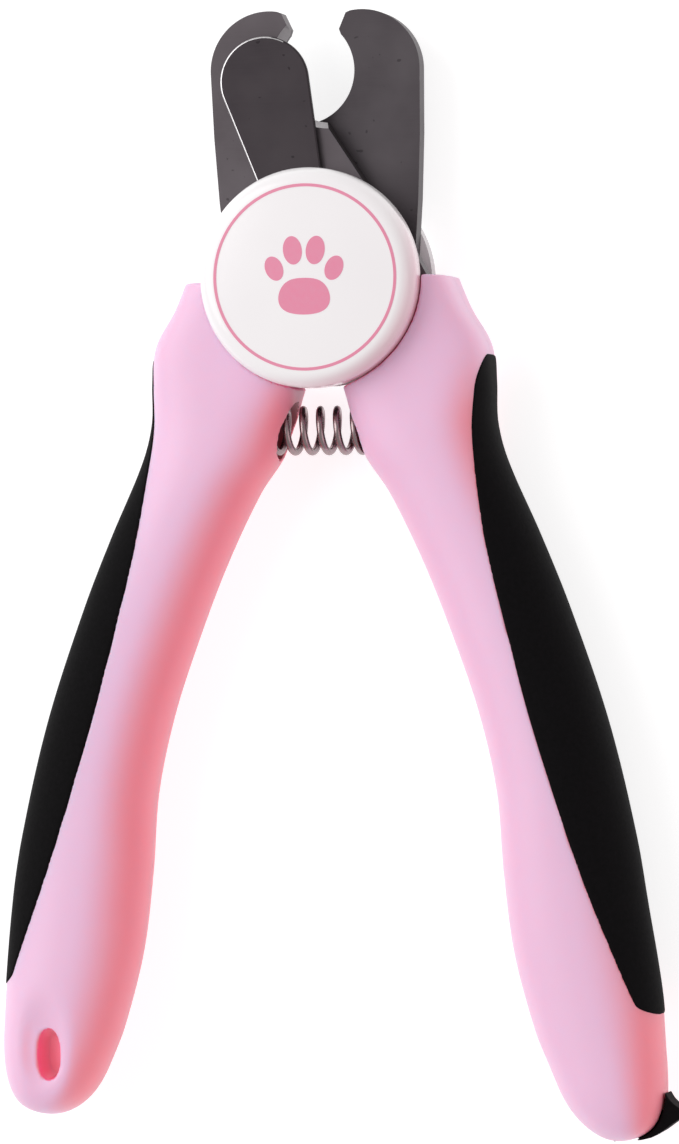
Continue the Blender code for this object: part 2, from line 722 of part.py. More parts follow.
def handle_cutters(side):
    """Tools that both shells of a handle share, as (keep-outs of the cavity, cuts)."""
    name = side_name(side)
    arc_wall = cylinder_mesh("arc_wall", ARC_RADIUS + ARC_WALL, -MM, 20 * MM, segments=36)
    spring_cup = spring_cutter(f"{name}_spring_cup", side, POCKET_RADIUS + POCKET_WALL,
                               POCKET_DEPTH + POCKET_WALL)
    keep_outs = [add_cutter(f"{name}_arc_wall", arc_wall), spring_cup]
    cuts = []
    arc_cut = cylinder_mesh("arc_clearance", ARC_RADIUS, -2 * MM, 21 * MM, segments=36)
    cuts.append(add_cutter(f"{name}_arc_clearance", arc_cut))
    cuts.append(spring_cutter(f"{name}_spring_pocket", side, POCKET_RADIUS, POCKET_DEPTH))
    cuts.append(in_handle(add_cutter(f"{name}_grip_groove", grip_groove_mesh("groove", side)), side))
    for number, place in enumerate(screw_places(side), start=1):
        boss_name = f"{name}_screw_boss_{number}"
        centre = handle_place(side, *place[:2])
        boss = cylinder_mesh(boss_name, SCREW_BOSS_RADIUS, -2 * MM, 21 * MM, centre, 16)
        keep_outs.append(add_cutter(boss_name, boss))
        cuts.append(screw_cutter(f"{name}_screw_hole_{number}", side, place))
    return keep_outs, cuts


def tang_slot(side):
    """Room for the tang, open to the plane where the shells part."""
    outline = rear_blade_outline() if side == LEFT else front_blade_outline()
    low, high = REAR_BLADE_Z if side == LEFT else FRONT_BLADE_Z
    past = 2 * GAP
    low, high = (low - GAP, high + past) if side == LEFT else (low - past, high + GAP)
    name = f"{side_name(side)}_tang_slot"
    return add_cutter(name, plate_mesh(name, [grown(outline, GAP)], low, high))


def hanging_hole():
    place = handle_place(LEFT, *HOLE_PLACE)
    outline = stadium(place, HOLE_HALF_WIDTH, HOLE_LENGTH)
    return add_cutter("hanging_hole", plate_mesh("hanging_hole", [outline], -MM, 20 * MM))


def file_mouth():
    """The slot in the right handle's end that the file's plug fills."""
    margin = GAP / MM
    low = Vector((PLUG_X[0] - margin, -150, -PLUG_DEPTH / 2 - margin)) * MM
    high = Vector((PLUG_X[1] + margin, -MOUTH_START, PLUG_DEPTH / 2 + margin)) * MM
    lift = Vector((0, 0, MID_Z))
    mouth = box_mesh("file_mouth", low + lift, high + lift)
    return in_handle(add_cutter("file_mouth", mouth), RIGHT)


def shell(side, face, keep_outs, cuts, parent):
    face_name = "front" if face == FRONT else "back"
    name = f"{side_name(side)}_{face_name}_shell"
    base = GAP / 2 / MM
    rings = [half_section(side, face, d, (0, 0, 0), base) for d in handle_stations(side)]
    item = add_part(name, loft_mesh(name, rings), PINK, 0.4, 0.0, parent)
    in_handle(item, side)
    boolean(item, cavity_cutter(side, face, keep_outs))
    for tool in cuts:
        boolean(item, tool)
    return item


def grip(side, parent):
    name = f"{side_name(side)}_grip"
    item = add_part(name, grip_mesh(name, side), BLACK, 0.75, 0.0, parent)
    return in_handle(item, side)


def handle_screw(side, number, place, parent):
    name = f"{side_name(side)}_screw_{number}"
    x, distance, low = place
    high = low + SCREW_HEAD_HEIGHT
    profile = [(0, SCREW_TOP_Z), (SCREW_RADIUS, SCREW_TOP_Z - MM), (SCREW_RADIUS, high),
               (SCREW_HEAD_RADIUS, high), (SCREW_HEAD_RADIUS, low + 0.4 * MM),
               (SCREW_HEAD_RADIUS - 0.5 * MM, low), (0, low)]
    item = add_part(name, profile_mesh(name, profile), BRIGHT_STEEL, 0.3, 1.0, parent)
    item.location = (*handle_place(side, x, distance), 0)
    turned(item, 12)
    recess = cylinder_mesh("recess", SCREW_RADIUS, low - MM, low + SCREW_RECESS, segments=4)
    socket = add_cutter(f"{name}_recess", recess)
    socket.location = item.location
    boolean(item, socket)
    return item


def handle(side, parent):
    """Both shells, the grip and the screws of one handle."""
    keep_outs, cuts = handle_cutters(side)
    end_cut = hanging_hole() if side == LEFT else file_mouth()
    slot = tang_slot(side)
    for face in (FRONT, BACK):
        item = shell(side, face, keep_outs, [*cuts, end_cut], parent)
        if (side, face) in ((LEFT, BACK), (RIGHT, FRONT)):
            boolean(item, slot)
    grip(side, parent)
    for number, place in enumerate(screw_places(side), start=1):
        handle_screw(side, number, place, parent)


# ---------------------------------------------------------------- nail file

def file_outline():
    low, high = FILE_X
    near, far = FILE_D
    taper = 1.6
    points = [(low + taper, -near), (low, -near - 5), (low, -far), (high, -far), (high, -near - 5),
              (high - taper, -near)]
    return [(x * MM, y * MM) for x, y in points]


def tab_outline():
    """A thumb tab that hugs the handle's end and flares past its outer corner."""
    hug = []
    for distance in (131.6, 133.2, 134.6, 135.6, 136.4):
        centre, half_width, _, _ = handle_size(RIGHT, distance)
        hug.append((centre + half_width, -distance))
    centre, half_width, _, _ = handle_size(RIGHT, HANDLE_LENGTH[RIGHT] - 0.1)
    bottom = -HANDLE_LENGTH[RIGHT]
    hug += [(centre + half_width, bottom), (8.9, bottom)]
    clearance = GAP / MM
    near = []
    for before, after in zip(hug, hug[1:]):
        along = atan2(after[1] - before[1], after[0] - before[0])
        near.append((before[0] - clearance * sin(along), before[1] + clearance * cos(along)))
    near.append((8.9, bottom - clearance))
    return in_metres([*near, *TAB_TAIL])


def nail_file(carrier):
    """A thin file whose root is held in a plug with a thumb tab."""
    half = FILE_THICKNESS / 2 * MM
    blade = plate_mesh("nail_file", [file_outline()], MID_Z - half, MID_Z + half)
    add_part("nail_file", blade, STEEL, 0.5, 1.0, carrier)
    lift = Vector((0, 0, MID_Z))
    low = Vector((PLUG_X[0], -PLUG_D[1] - 1.8, -TAB_DEPTH / 2)) * MM + lift
    high = Vector((PLUG_X[1] - 2.0, -PLUG_D[0], TAB_DEPTH / 2)) * MM + lift
    item = add_part("file_tab", box_mesh("file_tab", low, high), BLACK, 0.6, 0.0, carrier)
    depth = TAB_DEPTH / 2 * MM
    tab = add_cutter("tab_flare", plate_mesh("tab_flare", [tab_outline()], MID_Z - depth, MID_Z + depth))
    root_low = Vector((FILE_X[0] * MM - GAP, -FILE_D[1] * MM - GAP, MID_Z - half - GAP))
    root_high = Vector((FILE_X[1] * MM + GAP, -100 * MM, MID_Z + half + GAP))
    root = add_cutter("file_root_slot", box_mesh("file_root_slot", root_low, root_high))
    for tool in (tab, root):
        tool.rotation_euler.z = OPEN_HALF_ANGLE
    boolean(item, tab, "UNION")
    boolean(item, root)


# ---------------------------------------------------------------- assembly

def build():
    """Everything on the left handle is fixed; the right handle turns about the pivot."""
    fixed = add_empty("fixed_side")
    moving = add_empty("jaw_pivot", parent=fixed)
    guard = add_empty("guard_pivot", parent=fixed)
    handle(LEFT, fixed)
    handle(RIGHT, moving)
    rear_blade(fixed)
    front_blade(moving)
    guard_plate(guard)
    stop_pin(fixed)
    pivot_bolt(fixed)
    pivot_nut(fixed)
    ring_part("pivot_bush", BOLT_RADIUS + GAP, BUSH_RADIUS, REAR_BLADE_Z[0], GUARD_Z[1], fixed)
    ring_part("front_washer", BOLT_RADIUS + GAP, WASHER_RADIUS, *FRONT_WASHER_Z, fixed)
    ring_part("rear_washer", BOLT_RADIUS + GAP, WASHER_RADIUS, *REAR_WASHER_Z, fixed)
    front_cap(fixed)
    rear_cap(fixed)
    coil_spring(fixed)
    carrier = add_empty("file_slide", turn=OPEN_HALF_ANGLE, parent=moving)
    nail_file(carrier)


clear_scene()
PARTS = new_collection("scissor_nail_clipper")
CUTTERS = new_collection("cutters")
build()
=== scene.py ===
from math import acos, atan2, copysign, cos, pi, radians, sin, sqrt

import bmesh
import bpy
import numpy as np
from mathutils import Matrix, Vector


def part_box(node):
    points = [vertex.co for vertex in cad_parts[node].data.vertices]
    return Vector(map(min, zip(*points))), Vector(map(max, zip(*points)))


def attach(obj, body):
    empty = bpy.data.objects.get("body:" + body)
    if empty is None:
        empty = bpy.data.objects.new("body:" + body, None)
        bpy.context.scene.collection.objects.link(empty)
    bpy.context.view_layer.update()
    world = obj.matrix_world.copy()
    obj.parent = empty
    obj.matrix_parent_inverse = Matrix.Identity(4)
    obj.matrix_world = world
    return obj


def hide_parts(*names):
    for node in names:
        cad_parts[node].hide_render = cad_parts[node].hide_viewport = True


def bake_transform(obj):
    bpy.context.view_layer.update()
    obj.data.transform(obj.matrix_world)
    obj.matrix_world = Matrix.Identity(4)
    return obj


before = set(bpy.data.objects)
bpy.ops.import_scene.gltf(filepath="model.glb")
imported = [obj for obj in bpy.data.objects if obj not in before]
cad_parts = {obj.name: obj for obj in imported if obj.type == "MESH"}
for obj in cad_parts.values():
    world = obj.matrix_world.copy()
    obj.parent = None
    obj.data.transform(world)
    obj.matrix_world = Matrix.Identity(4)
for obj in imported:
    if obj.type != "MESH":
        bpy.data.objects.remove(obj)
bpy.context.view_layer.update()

MM = 0.001
LEFT = -1
RIGHT = 1
FRONT = 1
BACK = -1

# Layers and places that the frame gives
REAR_BLADE_Z = [corner.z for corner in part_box("rear_blade")]
FRONT_BLADE_Z = [corner.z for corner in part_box("front_blade")]
GUARD_Z = [corner.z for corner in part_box("guard_plate")]
FRONT_CAP_Z = [corner.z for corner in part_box("front_cap")]
REAR_CAP_Z = [corner.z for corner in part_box("rear_cap")]
FRONT_CAP_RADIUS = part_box("front_cap")[1].x
REAR_CAP_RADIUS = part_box("rear_cap")[1].x
SPRING_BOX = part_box("coil_spring")
MID_Z = (REAR_BLADE_Z[1] + FRONT_BLADE_Z[0]) / 2

# Shapes that the part's source sets too. A few are refined here.
OPEN_HALF_ANGLE = radians(15.8)
FRONT_CAP_SHOULDER = 2.6 * MM
FRONT_CAP_CROWN = 0.5 * MM
FRONT_CAP_RIM_Z = 17.2 * MM
FRONT_CAP_TAPER = 0.8 * MM
REAR_CAP_EDGE = 2.4 * MM
CAP_WALL = 1.4 * MM
FRONT_CAP_ROOF = 1.8 * MM
REAR_CAP_FLOOR = 1.2 * MM
FRONT_CAP_FLAT = FRONT_CAP_RADIUS - FRONT_CAP_SHOULDER
FRONT_SHOULDER_Z = FRONT_CAP_Z[1] - FRONT_CAP_CROWN - FRONT_CAP_SHOULDER
HEAD_TILT = radians(1.4)
NOTCH_CENTRE = (-2.5 * MM, 32.0 * MM)
NOTCH_RADIUS = 8.2 * MM
NOTCH_ARC = (radians(-83.5), radians(40))
GROUND_SHARE = 0.72
GROUND_REACH = 1.0 * MM
TIP_CENTRE = (6.8 * MM, 31.95 * MM)
TIP_RADIUS = 9.0 * MM
TIP_CORNERS = ((3.5, 38.1), (4.6, 40.55))
BLADE_BACK = ((15.55, 22.0), (15.0, 12.0))
BLADE_HEEL = ((-17.5, -1.0), (-15.2, 3.2), (-6.7, 15.25))
TANG = ((9.3, 19.5), (9.3, 38.0), (10.6, 41.0), (14.8, 41.0), (16.0, 38.0), (16.4, 30.0),
        (17.5, 20.0), (17.4, 9.0))
HUB_RADIUS = 14.2 * MM
GUARD_TILT = radians(14.9)
GUARD_HEAD_DISTANCE = 31.1 * MM
GUARD_HEAD_RADIUS = 6.85 * MM
GUARD_HUB_RADIUS = 8.2 * MM
GUARD_NECK = (4.65 * MM, 13.5 * MM)
BUSH_HOLE_RADIUS = 3.8 * MM
TANG_SCREWS = ((14.0, 21.5), (12.6, 36.0))
LOWER_SCREW = {LEFT: (8.4, 104.0), RIGHT: (4.8, 106.0)}
SCREW_HOLE_RADIUS = 1.4 * MM
SCREW_HEAD_RADIUS = 2.3 * MM
SCREW_HEAD_HEIGHT = 1.5 * MM
SCREW_SHANK_RADIUS = 1.1 * MM
SCREW_CROSS = (1.25 * MM, 0.28 * MM, 0.9 * MM)
ARC_RADIUS = 16.7 * MM
POCKET_RADIUS = 4.3 * MM
POCKET_DEPTH = 11.0 * MM
SPRING_Y = (SPRING_BOX[0].y + SPRING_BOX[1].y) / 2
SPRING_TURNS = 8.5
SPRING_DEAD_TURNS = 0.9
SPRING_WIRE_RADIUS = 0.55 * MM
SPRING_CLOSED_PITCH = 2.1 * SPRING_WIRE_RADIUS
SPRING_END_GAP = 0.2 * MM

# Handles: (distance along the handle, value) in millimetres
HANDLE_TOP = {LEFT: 5.5, RIGHT: 4.7}
HANDLE_LENGTH = {LEFT: 134.1, RIGHT: 137.8}
END_SPREAD = {LEFT: -0.7, RIGHT: 0.5}
END_SPREAD_RANGE = (100, 122)
INNER_EDGE = ((5, -1.0), (17, -1.0), (27, -1.0), (34, 1.1), (46, 3.2), (58, 4.4), (70, 5.0),
              (82, 4.3), (94, 1.9), (106, 0.1), (118, -0.1), (124, 0.55), (130, 1.4), (137, 3.0))
OUTER_EDGE = ((5, 19.4), (10, 20.1), (16.5, 21.7), (22, 20.9), (28, 19.5), (34, 19.4), (46, 21.1),
              (58, 22.4), (76, 23.3), (94, 22.6), (106, 21.2), (118, 19.4), (130, 16.9), (137, 16.4))
HALF_DEPTH = ((5, 9.0), (30, 9.0), (48, 8.6), (76, 8.9), (100, 8.6), (118, 8.2), (137, 8.0))
CORNER_POWER = ((5, 5.0), (12, 4.4), (18, 3.5), (26, 2.6), (36, 2.25), (50, 2.2), (137, 2.2))
GRIP_EDGE = ((18.5, 21.5), (22, 20.2), (28, 18.0), (34, 16.8), (46, 15.3), (58, 14.8), (72, 14.5),
             (88, 14.9), (100, 15.6), (112, 16.8), (118.5, 17.6), (121, 18.2))
GRIP_SHIFT = {LEFT: 0.95, RIGHT: -0.5}
GRIP_MIN_WIDTH = 0.6
END_ROUNDING = 11.0
END_POWER = 2.6
TOP_SLOPE = 0.3
TOP_SLOPE_CENTRE = 18.0
TOP_SLOPE_LENGTH = 11.0
GRIP_THICKNESS = 1.8
GRIP_START = 18.5
GRIP_END = {LEFT: 116.2, RIGHT: 120.4}
HOLE_PLACE = (8.6, 124.5)
HOLE_HALF_WIDTH = 1.95 * MM
HOLE_LENGTH = 8.0 * MM
HOLE_POWER = 2.3
HOLE_DRAFT = 0.75 * MM
DISH_SHIFT = (-1.2 * MM, 0.8 * MM)
DISH_RADII = (3.4 * MM, 6.6 * MM)
DISH_DEPTH = 0.22
FILE_X = (8.3, 14.0)
FILE_D = (66.0, 127.0)
FILE_CHANNEL_HALF_DEPTH = 0.8
FILE_ROOT_HALF_DEPTH = 0.7
FILE_ROOT_START = 100.0
PAST_HANDLE = 150.0
PLUG_X = (6.9, 15.3)
PLUG_START = 123.0
MOUTH_START = 117.0
PLUG_HALF_DEPTH = 1.5
PLUG_TOP = 135.2
PLUG_GAP = 0.3
TAB_TOP = 132.2
TAB_GAP = 0.1
TAB_TAIL = ((10.2, -138.03), (11.3, -138.2), (12.9, -138.25), (14.7, -137.8), (17.0, -136.95),
            (19.2, -136.15), (18.3, -135.2), (17.6, -134.4), (17.05, -133.4))

# Fineness and softness of the finished surfaces
SEAM = 0.03 * MM
PAST_SEAM = 0.12
SECTION_STEPS = 48
STATION_STEP = 1.2
SHELL_VOXEL = 0.3 * MM
SMOOTHING_ROUNDS = 5
GRIP_PROUD = 0.16
GRIP_LIP = 0.55
GRIP_ROUNDING = 0.55
GRIP_TOP_LENGTH = 5.0
GRIP_END_LENGTH = 2.6
CLEARANCE = 0.06
TAB_VOXEL = 0.13 * MM
TAB_ROUNDS = 5
BLADE_BEVEL = 0.14 * MM
GUARD_BEVEL = 0.26 * MM

# The print on the cap
PRINT_LIFT = 0.035 * MM
PRINT_SINK = 0.15 * MM
RING_RADII = (13.6 * MM, 14.05 * MM)
INNER_TOE = ((1.75 * MM, 4.0 * MM), (1.45 * MM, 2.15 * MM), radians(-8))
OUTER_TOE = ((4.6 * MM, 1.3 * MM), (1.35 * MM, 1.9 * MM), radians(-24))

# Studio light
AMBIENT = 0.52
KEY_POWER = 7.3
FILL_POWER = 1.7
FLOOR_GLOW = 0.74


# ---------------------------------------------------------------- mesh helpers

def new_object(name, mesh):
    item = bpy.data.objects.new(name, mesh)
    bpy.context.scene.collection.objects.link(item)
    return item


def finish_mesh(bm, name, sharp=None):
    bmesh.ops.recalc_face_normals(bm, faces=bm.faces)
    mesh = bpy.data.meshes.new(name)
    bm.to_mesh(mesh)
    bm.free()
    mesh.shade_smooth()
    if sharp is not None:
        mesh.set_sharp_from_angle(angle=radians(sharp))
    return mesh


def apply_modifiers(item):
    graph = bpy.context.evaluated_depsgraph_get()
    mesh = bpy.data.meshes.new_from_object(item.evaluated_get(graph))
    item.modifiers.clear()
    item.data = mesh
    return item


def boolean(item, tool, operation="DIFFERENCE"):
    modifier = item.modifiers.new(operation, "BOOLEAN")
    modifier.operation = operation
    modifier.object = tool
    modifier.solver = "EXACT"


def cut_with(item, tools):
    """Cut the tools out of an item, and throw them away."""
    for tool in tools:
        boolean(item, tool)
    apply_modifiers(item)
    for tool in tools:
        bpy.data.objects.remove(tool)
    return item


def cylinder(name, radius, low, high, centre=(0, 0), segments=64, top_radius=None):
    bm = bmesh.new()
    place = Matrix.Translation((centre[0], centre[1], (low + high) / 2))
    bmesh.ops.create_cone(bm, cap_ends=True, segments=segments, radius1=radius,
                          radius2=top_radius or radius, depth=high - low, matrix=place)
    return new_object(name, finish_mesh(bm, name))


def cylinder_along_x(name, radius, start, end, y, z):
    bm = bmesh.new()
    place = Matrix.Translation(((start + end) / 2, y, z)) @ Matrix.Rotation(pi / 2, 4, "Y")
    bmesh.ops.create_cone(bm, cap_ends=True, segments=48, radius1=radius, radius2=radius,
                          depth=abs(end - start), matrix=place)
    return new_object(name, finish_mesh(bm, name))


def box(name, low, high):
    bm = bmesh.new()
    size = Vector(high) - Vector(low)
    place = Matrix.Translation((Vector(high) + Vector(low)) / 2) @ Matrix.Diagonal((*size, 1))
    bmesh.ops.create_cube(bm, size=1, matrix=place)
    return new_object(name, finish_mesh(bm, name))


def plate(name, outline, low, high, sharp=35):
    """An extruded outline, as a closed body."""
    bm = bmesh.new()
    verts = [bm.verts.new((x, y, low)) for x, y in outline]
    face = bm.faces.new(verts)
    moved = bmesh.ops.extrude_face_region(bm, geom=[face])
    top = [item for item in moved["geom"] if isinstance(item, bmesh.types.BMVert)]
    bmesh.ops.translate(bm, verts=top, vec=(0, 0, high - low))
    return new_object(name, finish_mesh(bm, name, sharp))


def lathe(name, profile, segments):
    """Turn a profile of (radius, height) points about the pivot axis."""
    bm = bmesh.new()
    rows = []
    for radius, height in profile:
        if radius < 1e-7:
            rows.append([bm.verts.new((0, 0, height))])
            continue
        angles = [2 * pi * step / segments for step in range(segments)]
        rows.append([bm.verts.new((radius * cos(a), radius * sin(a), height)) for a in angles])
    for upper, lower in zip(rows, rows[1:]):
        for step in range(segments):
            after = (step + 1) % segments
            corners = [upper[step % len(upper)], upper[after % len(upper)],
                       lower[after % len(lower)], lower[step % len(lower)]]
            unique = list(dict.fromkeys(corners))
            if len(unique) > 2:
                bm.faces.new(unique)
    return new_object(name, finish_mesh(bm, name, 50))


def join_rings(bm, rows):
    """Faces between rows of vertices, each a closed ring with the same count."""
    for row, following in zip(rows, rows[1:]):
        for index in range(len(row)):
            after = (index + 1) % len(row)
            bm.faces.new((row[index], row[after], following[after], following[index]))


def add_loft(bm, rings):
    """A closed body through rings of points."""
    rows = [[bm.verts.new(point) for point in ring] for ring in rings]
    join_rings(bm, rows)
    bm.faces.new(rows[0])
    bm.faces.new(rows[-1])


def loft(name, rings):
    bm = bmesh.new()
    add_loft(bm, rings)
    return new_object(name, finish_mesh(bm, name, 60))


def arc(centre, radius, start, end, steps):
    angles = [start + (end - start) * step / steps for step in range(steps + 1)]
    return [(centre[0] + radius * cos(a), centre[1] + radius * sin(a)) for a in angles]


def grown(outline, distance):
    """The anticlockwise outline moved outwards by a distance."""
    result = []
    count = len(outline)
    for index, point in enumerate(outline):
        before = Vector(outline[index - 1])
        after = Vector(outline[(index + 1) % count])
        here = Vector(point)
        first = (here - before).normalized()
        second = (after - here).normalized()
        normal = Vector((first.y + second.y, -first.x - second.x)).normalized()
        stretch = max(0.5, normal.dot(Vector((first.y, -first.x))))
        result.append(tuple(here + normal * distance / stretch))
    return result


def bevelled(item, width, segments=3, angle=30):
    """Round an item's sharp edges."""
    modifier = item.modifiers.new("rounding", "BEVEL")
    modifier.width = width
    modifier.segments = segments
    modifier.limit_method = "ANGLE"
    modifier.angle_limit = radians(angle)
    apply_modifiers(item)
    item.data.shade_smooth()
    item.data.set_sharp_from_angle(angle=radians(50))
    flat = item.modifiers.new("flat faces", "WEIGHTED_NORMAL")
    flat.keep_sharp = True
    return apply_modifiers(item)


def coordinates(mesh):
    values = np.empty(len(mesh.vertices) * 3, np.float64)
    mesh.vertices.foreach_get("co", values)
    return values.reshape(-1, 3)


def set_coordinates(mesh, values):
    mesh.vertices.foreach_set("co", np.ascontiguousarray(values, np.float32).ravel())
    mesh.update()


def smoothed(mesh, rounds):
    """Move each vertex half way to the mean of its neighbours, a few times."""
    edges = np.empty(len(mesh.edges) * 2, np.int64)
    mesh.edges.foreach_get("vertices", edges)
    starts, ends = edges[0::2], edges[1::2]
    points = coordinates(mesh)
    count = len(points)
    degree = np.bincount(starts, minlength=count) + np.bincount(ends, minlength=count)
    for _ in range(rounds):
        total = np.empty_like(points)
        for axis in range(3):
            total[:, axis] = np.bincount(starts, weights=points[ends, axis], minlength=count)
            total[:, axis] += np.bincount(ends, weights=points[starts, axis], minlength=count)
        points += 0.5 * (total / degree[:, None] - points)
    set_coordinates(mesh, points)


def cut_flat(item, height, keep):
    """Cut an item level at a height, keep the side above (1) or below (-1), and close the cut."""
    bm = bmesh.new()
    bm.from_mesh(item.data)
    everything = [*bm.verts, *bm.edges, *bm.faces]
    cut = bmesh.ops.bisect_plane(bm, geom=everything, plane_co=(0, 0, height), plane_no=(0, 0, keep),
                                 clear_inner=True)
    rim = [part for part in cut["geom_cut"] if isinstance(part, bmesh.types.BMEdge)]
    bmesh.ops.triangle_fill(bm, edges=rim, use_beauty=True, normal=(0, 0, -keep))
    item.data = finish_mesh(bm, item.name, 50)
    return item


def remeshed(item, voxel, rounds):
    """One even skin over the whole item, with its edges softened."""
    modifier = item.modifiers.new("skin", "REMESH")
    modifier.mode = "VOXEL"
    modifier.voxel_size = voxel
    modifier.adaptivity = 0.0
    apply_modifiers(item)
    smoothed(item.data, rounds)
    item.data.shade_smooth()
    return item


def smooth_value(points, position):
    """Read a smooth curve through (position, value) points, flat beyond its ends."""
    if position <= points[0][0]:
        return points[0][1]
    if position >= points[-1][0]:
        return points[-1][1]
    slopes = []
    for index in range(len(points)):
        low = points[max(index - 1, 0)]
        high = points[min(index + 1, len(points) - 1)]
        slopes.append((high[1] - low[1]) / (high[0] - low[0]))
    index = max(i for i, point in enumerate(points) if point[0] <= position)
    start, end = points[index], points[index + 1]
    span = end[0] - start[0]
    t = (position - start[0]) / span
    rise = slopes[index] * span * (t ** 3 - 2 * t ** 2 + t)
    settle = slopes[index + 1] * span * (t ** 3 - t ** 2)
    blend = 3 * t ** 2 - 2 * t ** 3
    return start[1] + (end[1] - start[1]) * blend + rise + settle


# ---------------------------------------------------------------- handle shape

def side_name(side):
    return {LEFT: "left", RIGHT: "right"}[side]


def body_name(side):
    return {LEFT: "fixed_side", RIGHT: "moving_side"}[side]


def end_taper(side, distance):
    """How far the section has closed towards the rounded end: 1 is not at all."""
    start = HANDLE_LENGTH[side] - END_ROUNDING
    if distance <= start:
        return 1.0
    share = min(1.0, (distance - start) / END_ROUNDING)
    return (1 - share ** END_POWER) ** (1 / END_POWER)


def end_share(distance):
    """0 above the handle's lower part, rising smoothly to 1 along it."""
    low, high = END_SPREAD_RANGE
    share = min(1.0, max(0.0, (distance - low) / (high - low)))
    return share * share * (3 - 2 * share)


def handle_size(side, distance):
    """Centre, half width, half depth and corner power of a section, in millimetres."""
    inner = smooth_value(INNER_EDGE, distance)
    outer = smooth_value(OUTER_EDGE, distance) + END_SPREAD[side] * end_share(distance)
    taper = end_taper(side, distance)
    half_width = (outer - inner) / 2 * taper
    half_depth = smooth_value(HALF_DEPTH, distance) * taper ** 0.7
    return (inner + outer) / 2, half_width, half_depth, smooth_value(CORNER_POWER, distance)


def top_fade(side, distance):
    share = np.clip((distance - HANDLE_TOP[side]) / TOP_SLOPE_LENGTH, 0, 1)
    return 1 - share * share * (3 - 2 * share)


def top_shift(side, x, distance):
    """The upper sections lean, so that the handle's top edge is level at rest."""
    return -TOP_SLOPE * (x - TOP_SLOPE_CENTRE) * top_fade(side, distance)


def handle_place(side, x, distance):
    """The XY position at rest of a point in the handle's own frame."""
    turn = Matrix.Rotation(side * OPEN_HALF_ANGLE, 2)
    return turn @ Vector((side * x * MM, -distance * MM))


def handle_point(side, x, distance, z):
    along = distance - top_shift(side, x, distance)
    return Vector((*handle_place(side, x, along), MID_Z + z * MM))


def superellipse(centre, half_width, half_depth, power, angle):
    across = copysign(abs(cos(angle)) ** (2 / power), cos(angle))
    up = copysign(abs(sin(angle)) ** (2 / power), sin(angle))
    return centre + half_width * across, half_depth * up


def handle_stations(side):
    """Distances of the sections, closer together round the end."""
    end_start = HANDLE_LENGTH[side] - END_ROUNDING
    count = round((end_start - HANDLE_TOP[side]) / STATION_STEP)
    straight = [HANDLE_TOP[side] + (end_start - HANDLE_TOP[side]) * i / count for i in range(count)]
    rounding = [end_start + END_ROUNDING * sin(pi / 2 * i / 15) for i in range(15)]
    return straight + rounding + [HANDLE_LENGTH[side] - 0.02]


def half_section(side, face, distance):
    """The front or back half of a handle section, which runs on a little past the mid plane."""
    centre, half_width, half_depth, power = handle_size(side, distance)
    points = []
    for step in range(SECTION_STEPS + 1):
        angle = -PAST_SEAM + (pi + 2 * PAST_SEAM) * step / SECTION_STEPS
        x, z = superellipse(centre, half_width, half_depth, power, angle)
        points.append(handle_point(side, x, distance, face * z))
    return points


def ramp(values, low, width):
    """0 up to a low value, rising evenly to 1 over a width."""
    return np.clip((values - low) / width, 0, 1)


def snap_to_handle(mesh, side):
    """Move the skin's vertices that are near the handle's true surface onto it."""
    distances = np.arange(0.0, HANDLE_LENGTH[side], 0.25)
    table = np.array([handle_size(side, d) for d in distances])
    angle = -side * OPEN_HALF_ANGLE
    turn = np.array(((cos(angle), -sin(angle), 0), (sin(angle), cos(angle), 0), (0, 0, 1)))
    local = coordinates(mesh) @ turn.T / MM
    normals = np.empty(len(mesh.vertices) * 3)
    mesh.vertex_normals.foreach_get("vector", normals)
    normals = normals.reshape(-1, 3) @ turn.T
    x = local[:, 0] * side
    z = local[:, 2] - MID_Z / MM
    distance = -local[:, 1]
    for _ in range(25):
        distance = -local[:, 1] + top_shift(side, x, distance)
    centre, width, depth, power = (np.interp(distance, distances, column) for column in table.T)
    across = (x - centre) / np.maximum(width, 0.1)
    up = z / np.maximum(depth, 0.1)
    radius = np.maximum(np.abs(across) ** power + np.abs(up) ** power, 1e-6) ** (1 / power)
    offset = np.hypot(x - centre, z) * (1 / radius - 1)
    slope_x = np.sign(across) * np.abs(across) ** (power - 1) / np.maximum(width, 0.1)
    slope_z = np.sign(up) * np.abs(up) ** (power - 1) / np.maximum(depth, 0.1)
    length = np.maximum(np.hypot(slope_x, slope_z), 1e-9)
    facing = (slope_x * side * normals[:, 0] + slope_z * normals[:, 2]) / length
    flat = np.maximum(np.hypot(normals[:, 0], normals[:, 2]), 1e-6)
    # Rims, cut walls and the rounded end keep their own shape
    along_surface = ramp(facing / flat, 0.93, 0.05) * ramp(flat, 0.75, 0.1)
    near_surface = ramp(-np.abs(offset), -0.4, 0.15)
    above_end = ramp(HANDLE_LENGTH[side] - distance, 2.0, 3.0)
    share = along_surface * near_surface * above_end
    scale = 1 + share * (1 / radius - 1)
    local[:, 0] = side * (centre + (x - centre) * scale)
    local[:, 2] = z * scale + MID_Z / MM
    set_coordinates(mesh, local * MM @ turn)


# ---------------------------------------------------------------- grips

def grip_limit(side, distance, margin):
    """The section angle at which the grip ends; it closes to a round tip at both ends."""
    centre, half_width, _, power = handle_size(side, distance)
    edge = smooth_value(GRIP_EDGE, distance) + GRIP_SHIFT[side] - margin
    edge = min(edge, centre + half_width - GRIP_MIN_WIDTH)
    across = (edge - centre) / half_width
    limit = acos(copysign(abs(across) ** (power / 2), across))
    top_share = (distance - GRIP_START + margin) / GRIP_TOP_LENGTH
    tail_share = (GRIP_END[side] - distance + margin) / GRIP_END_LENGTH
    share = min(1.0, max(0.02, min(top_share, tail_share)))
    return limit * sqrt(1 - (1 - share) ** 2)


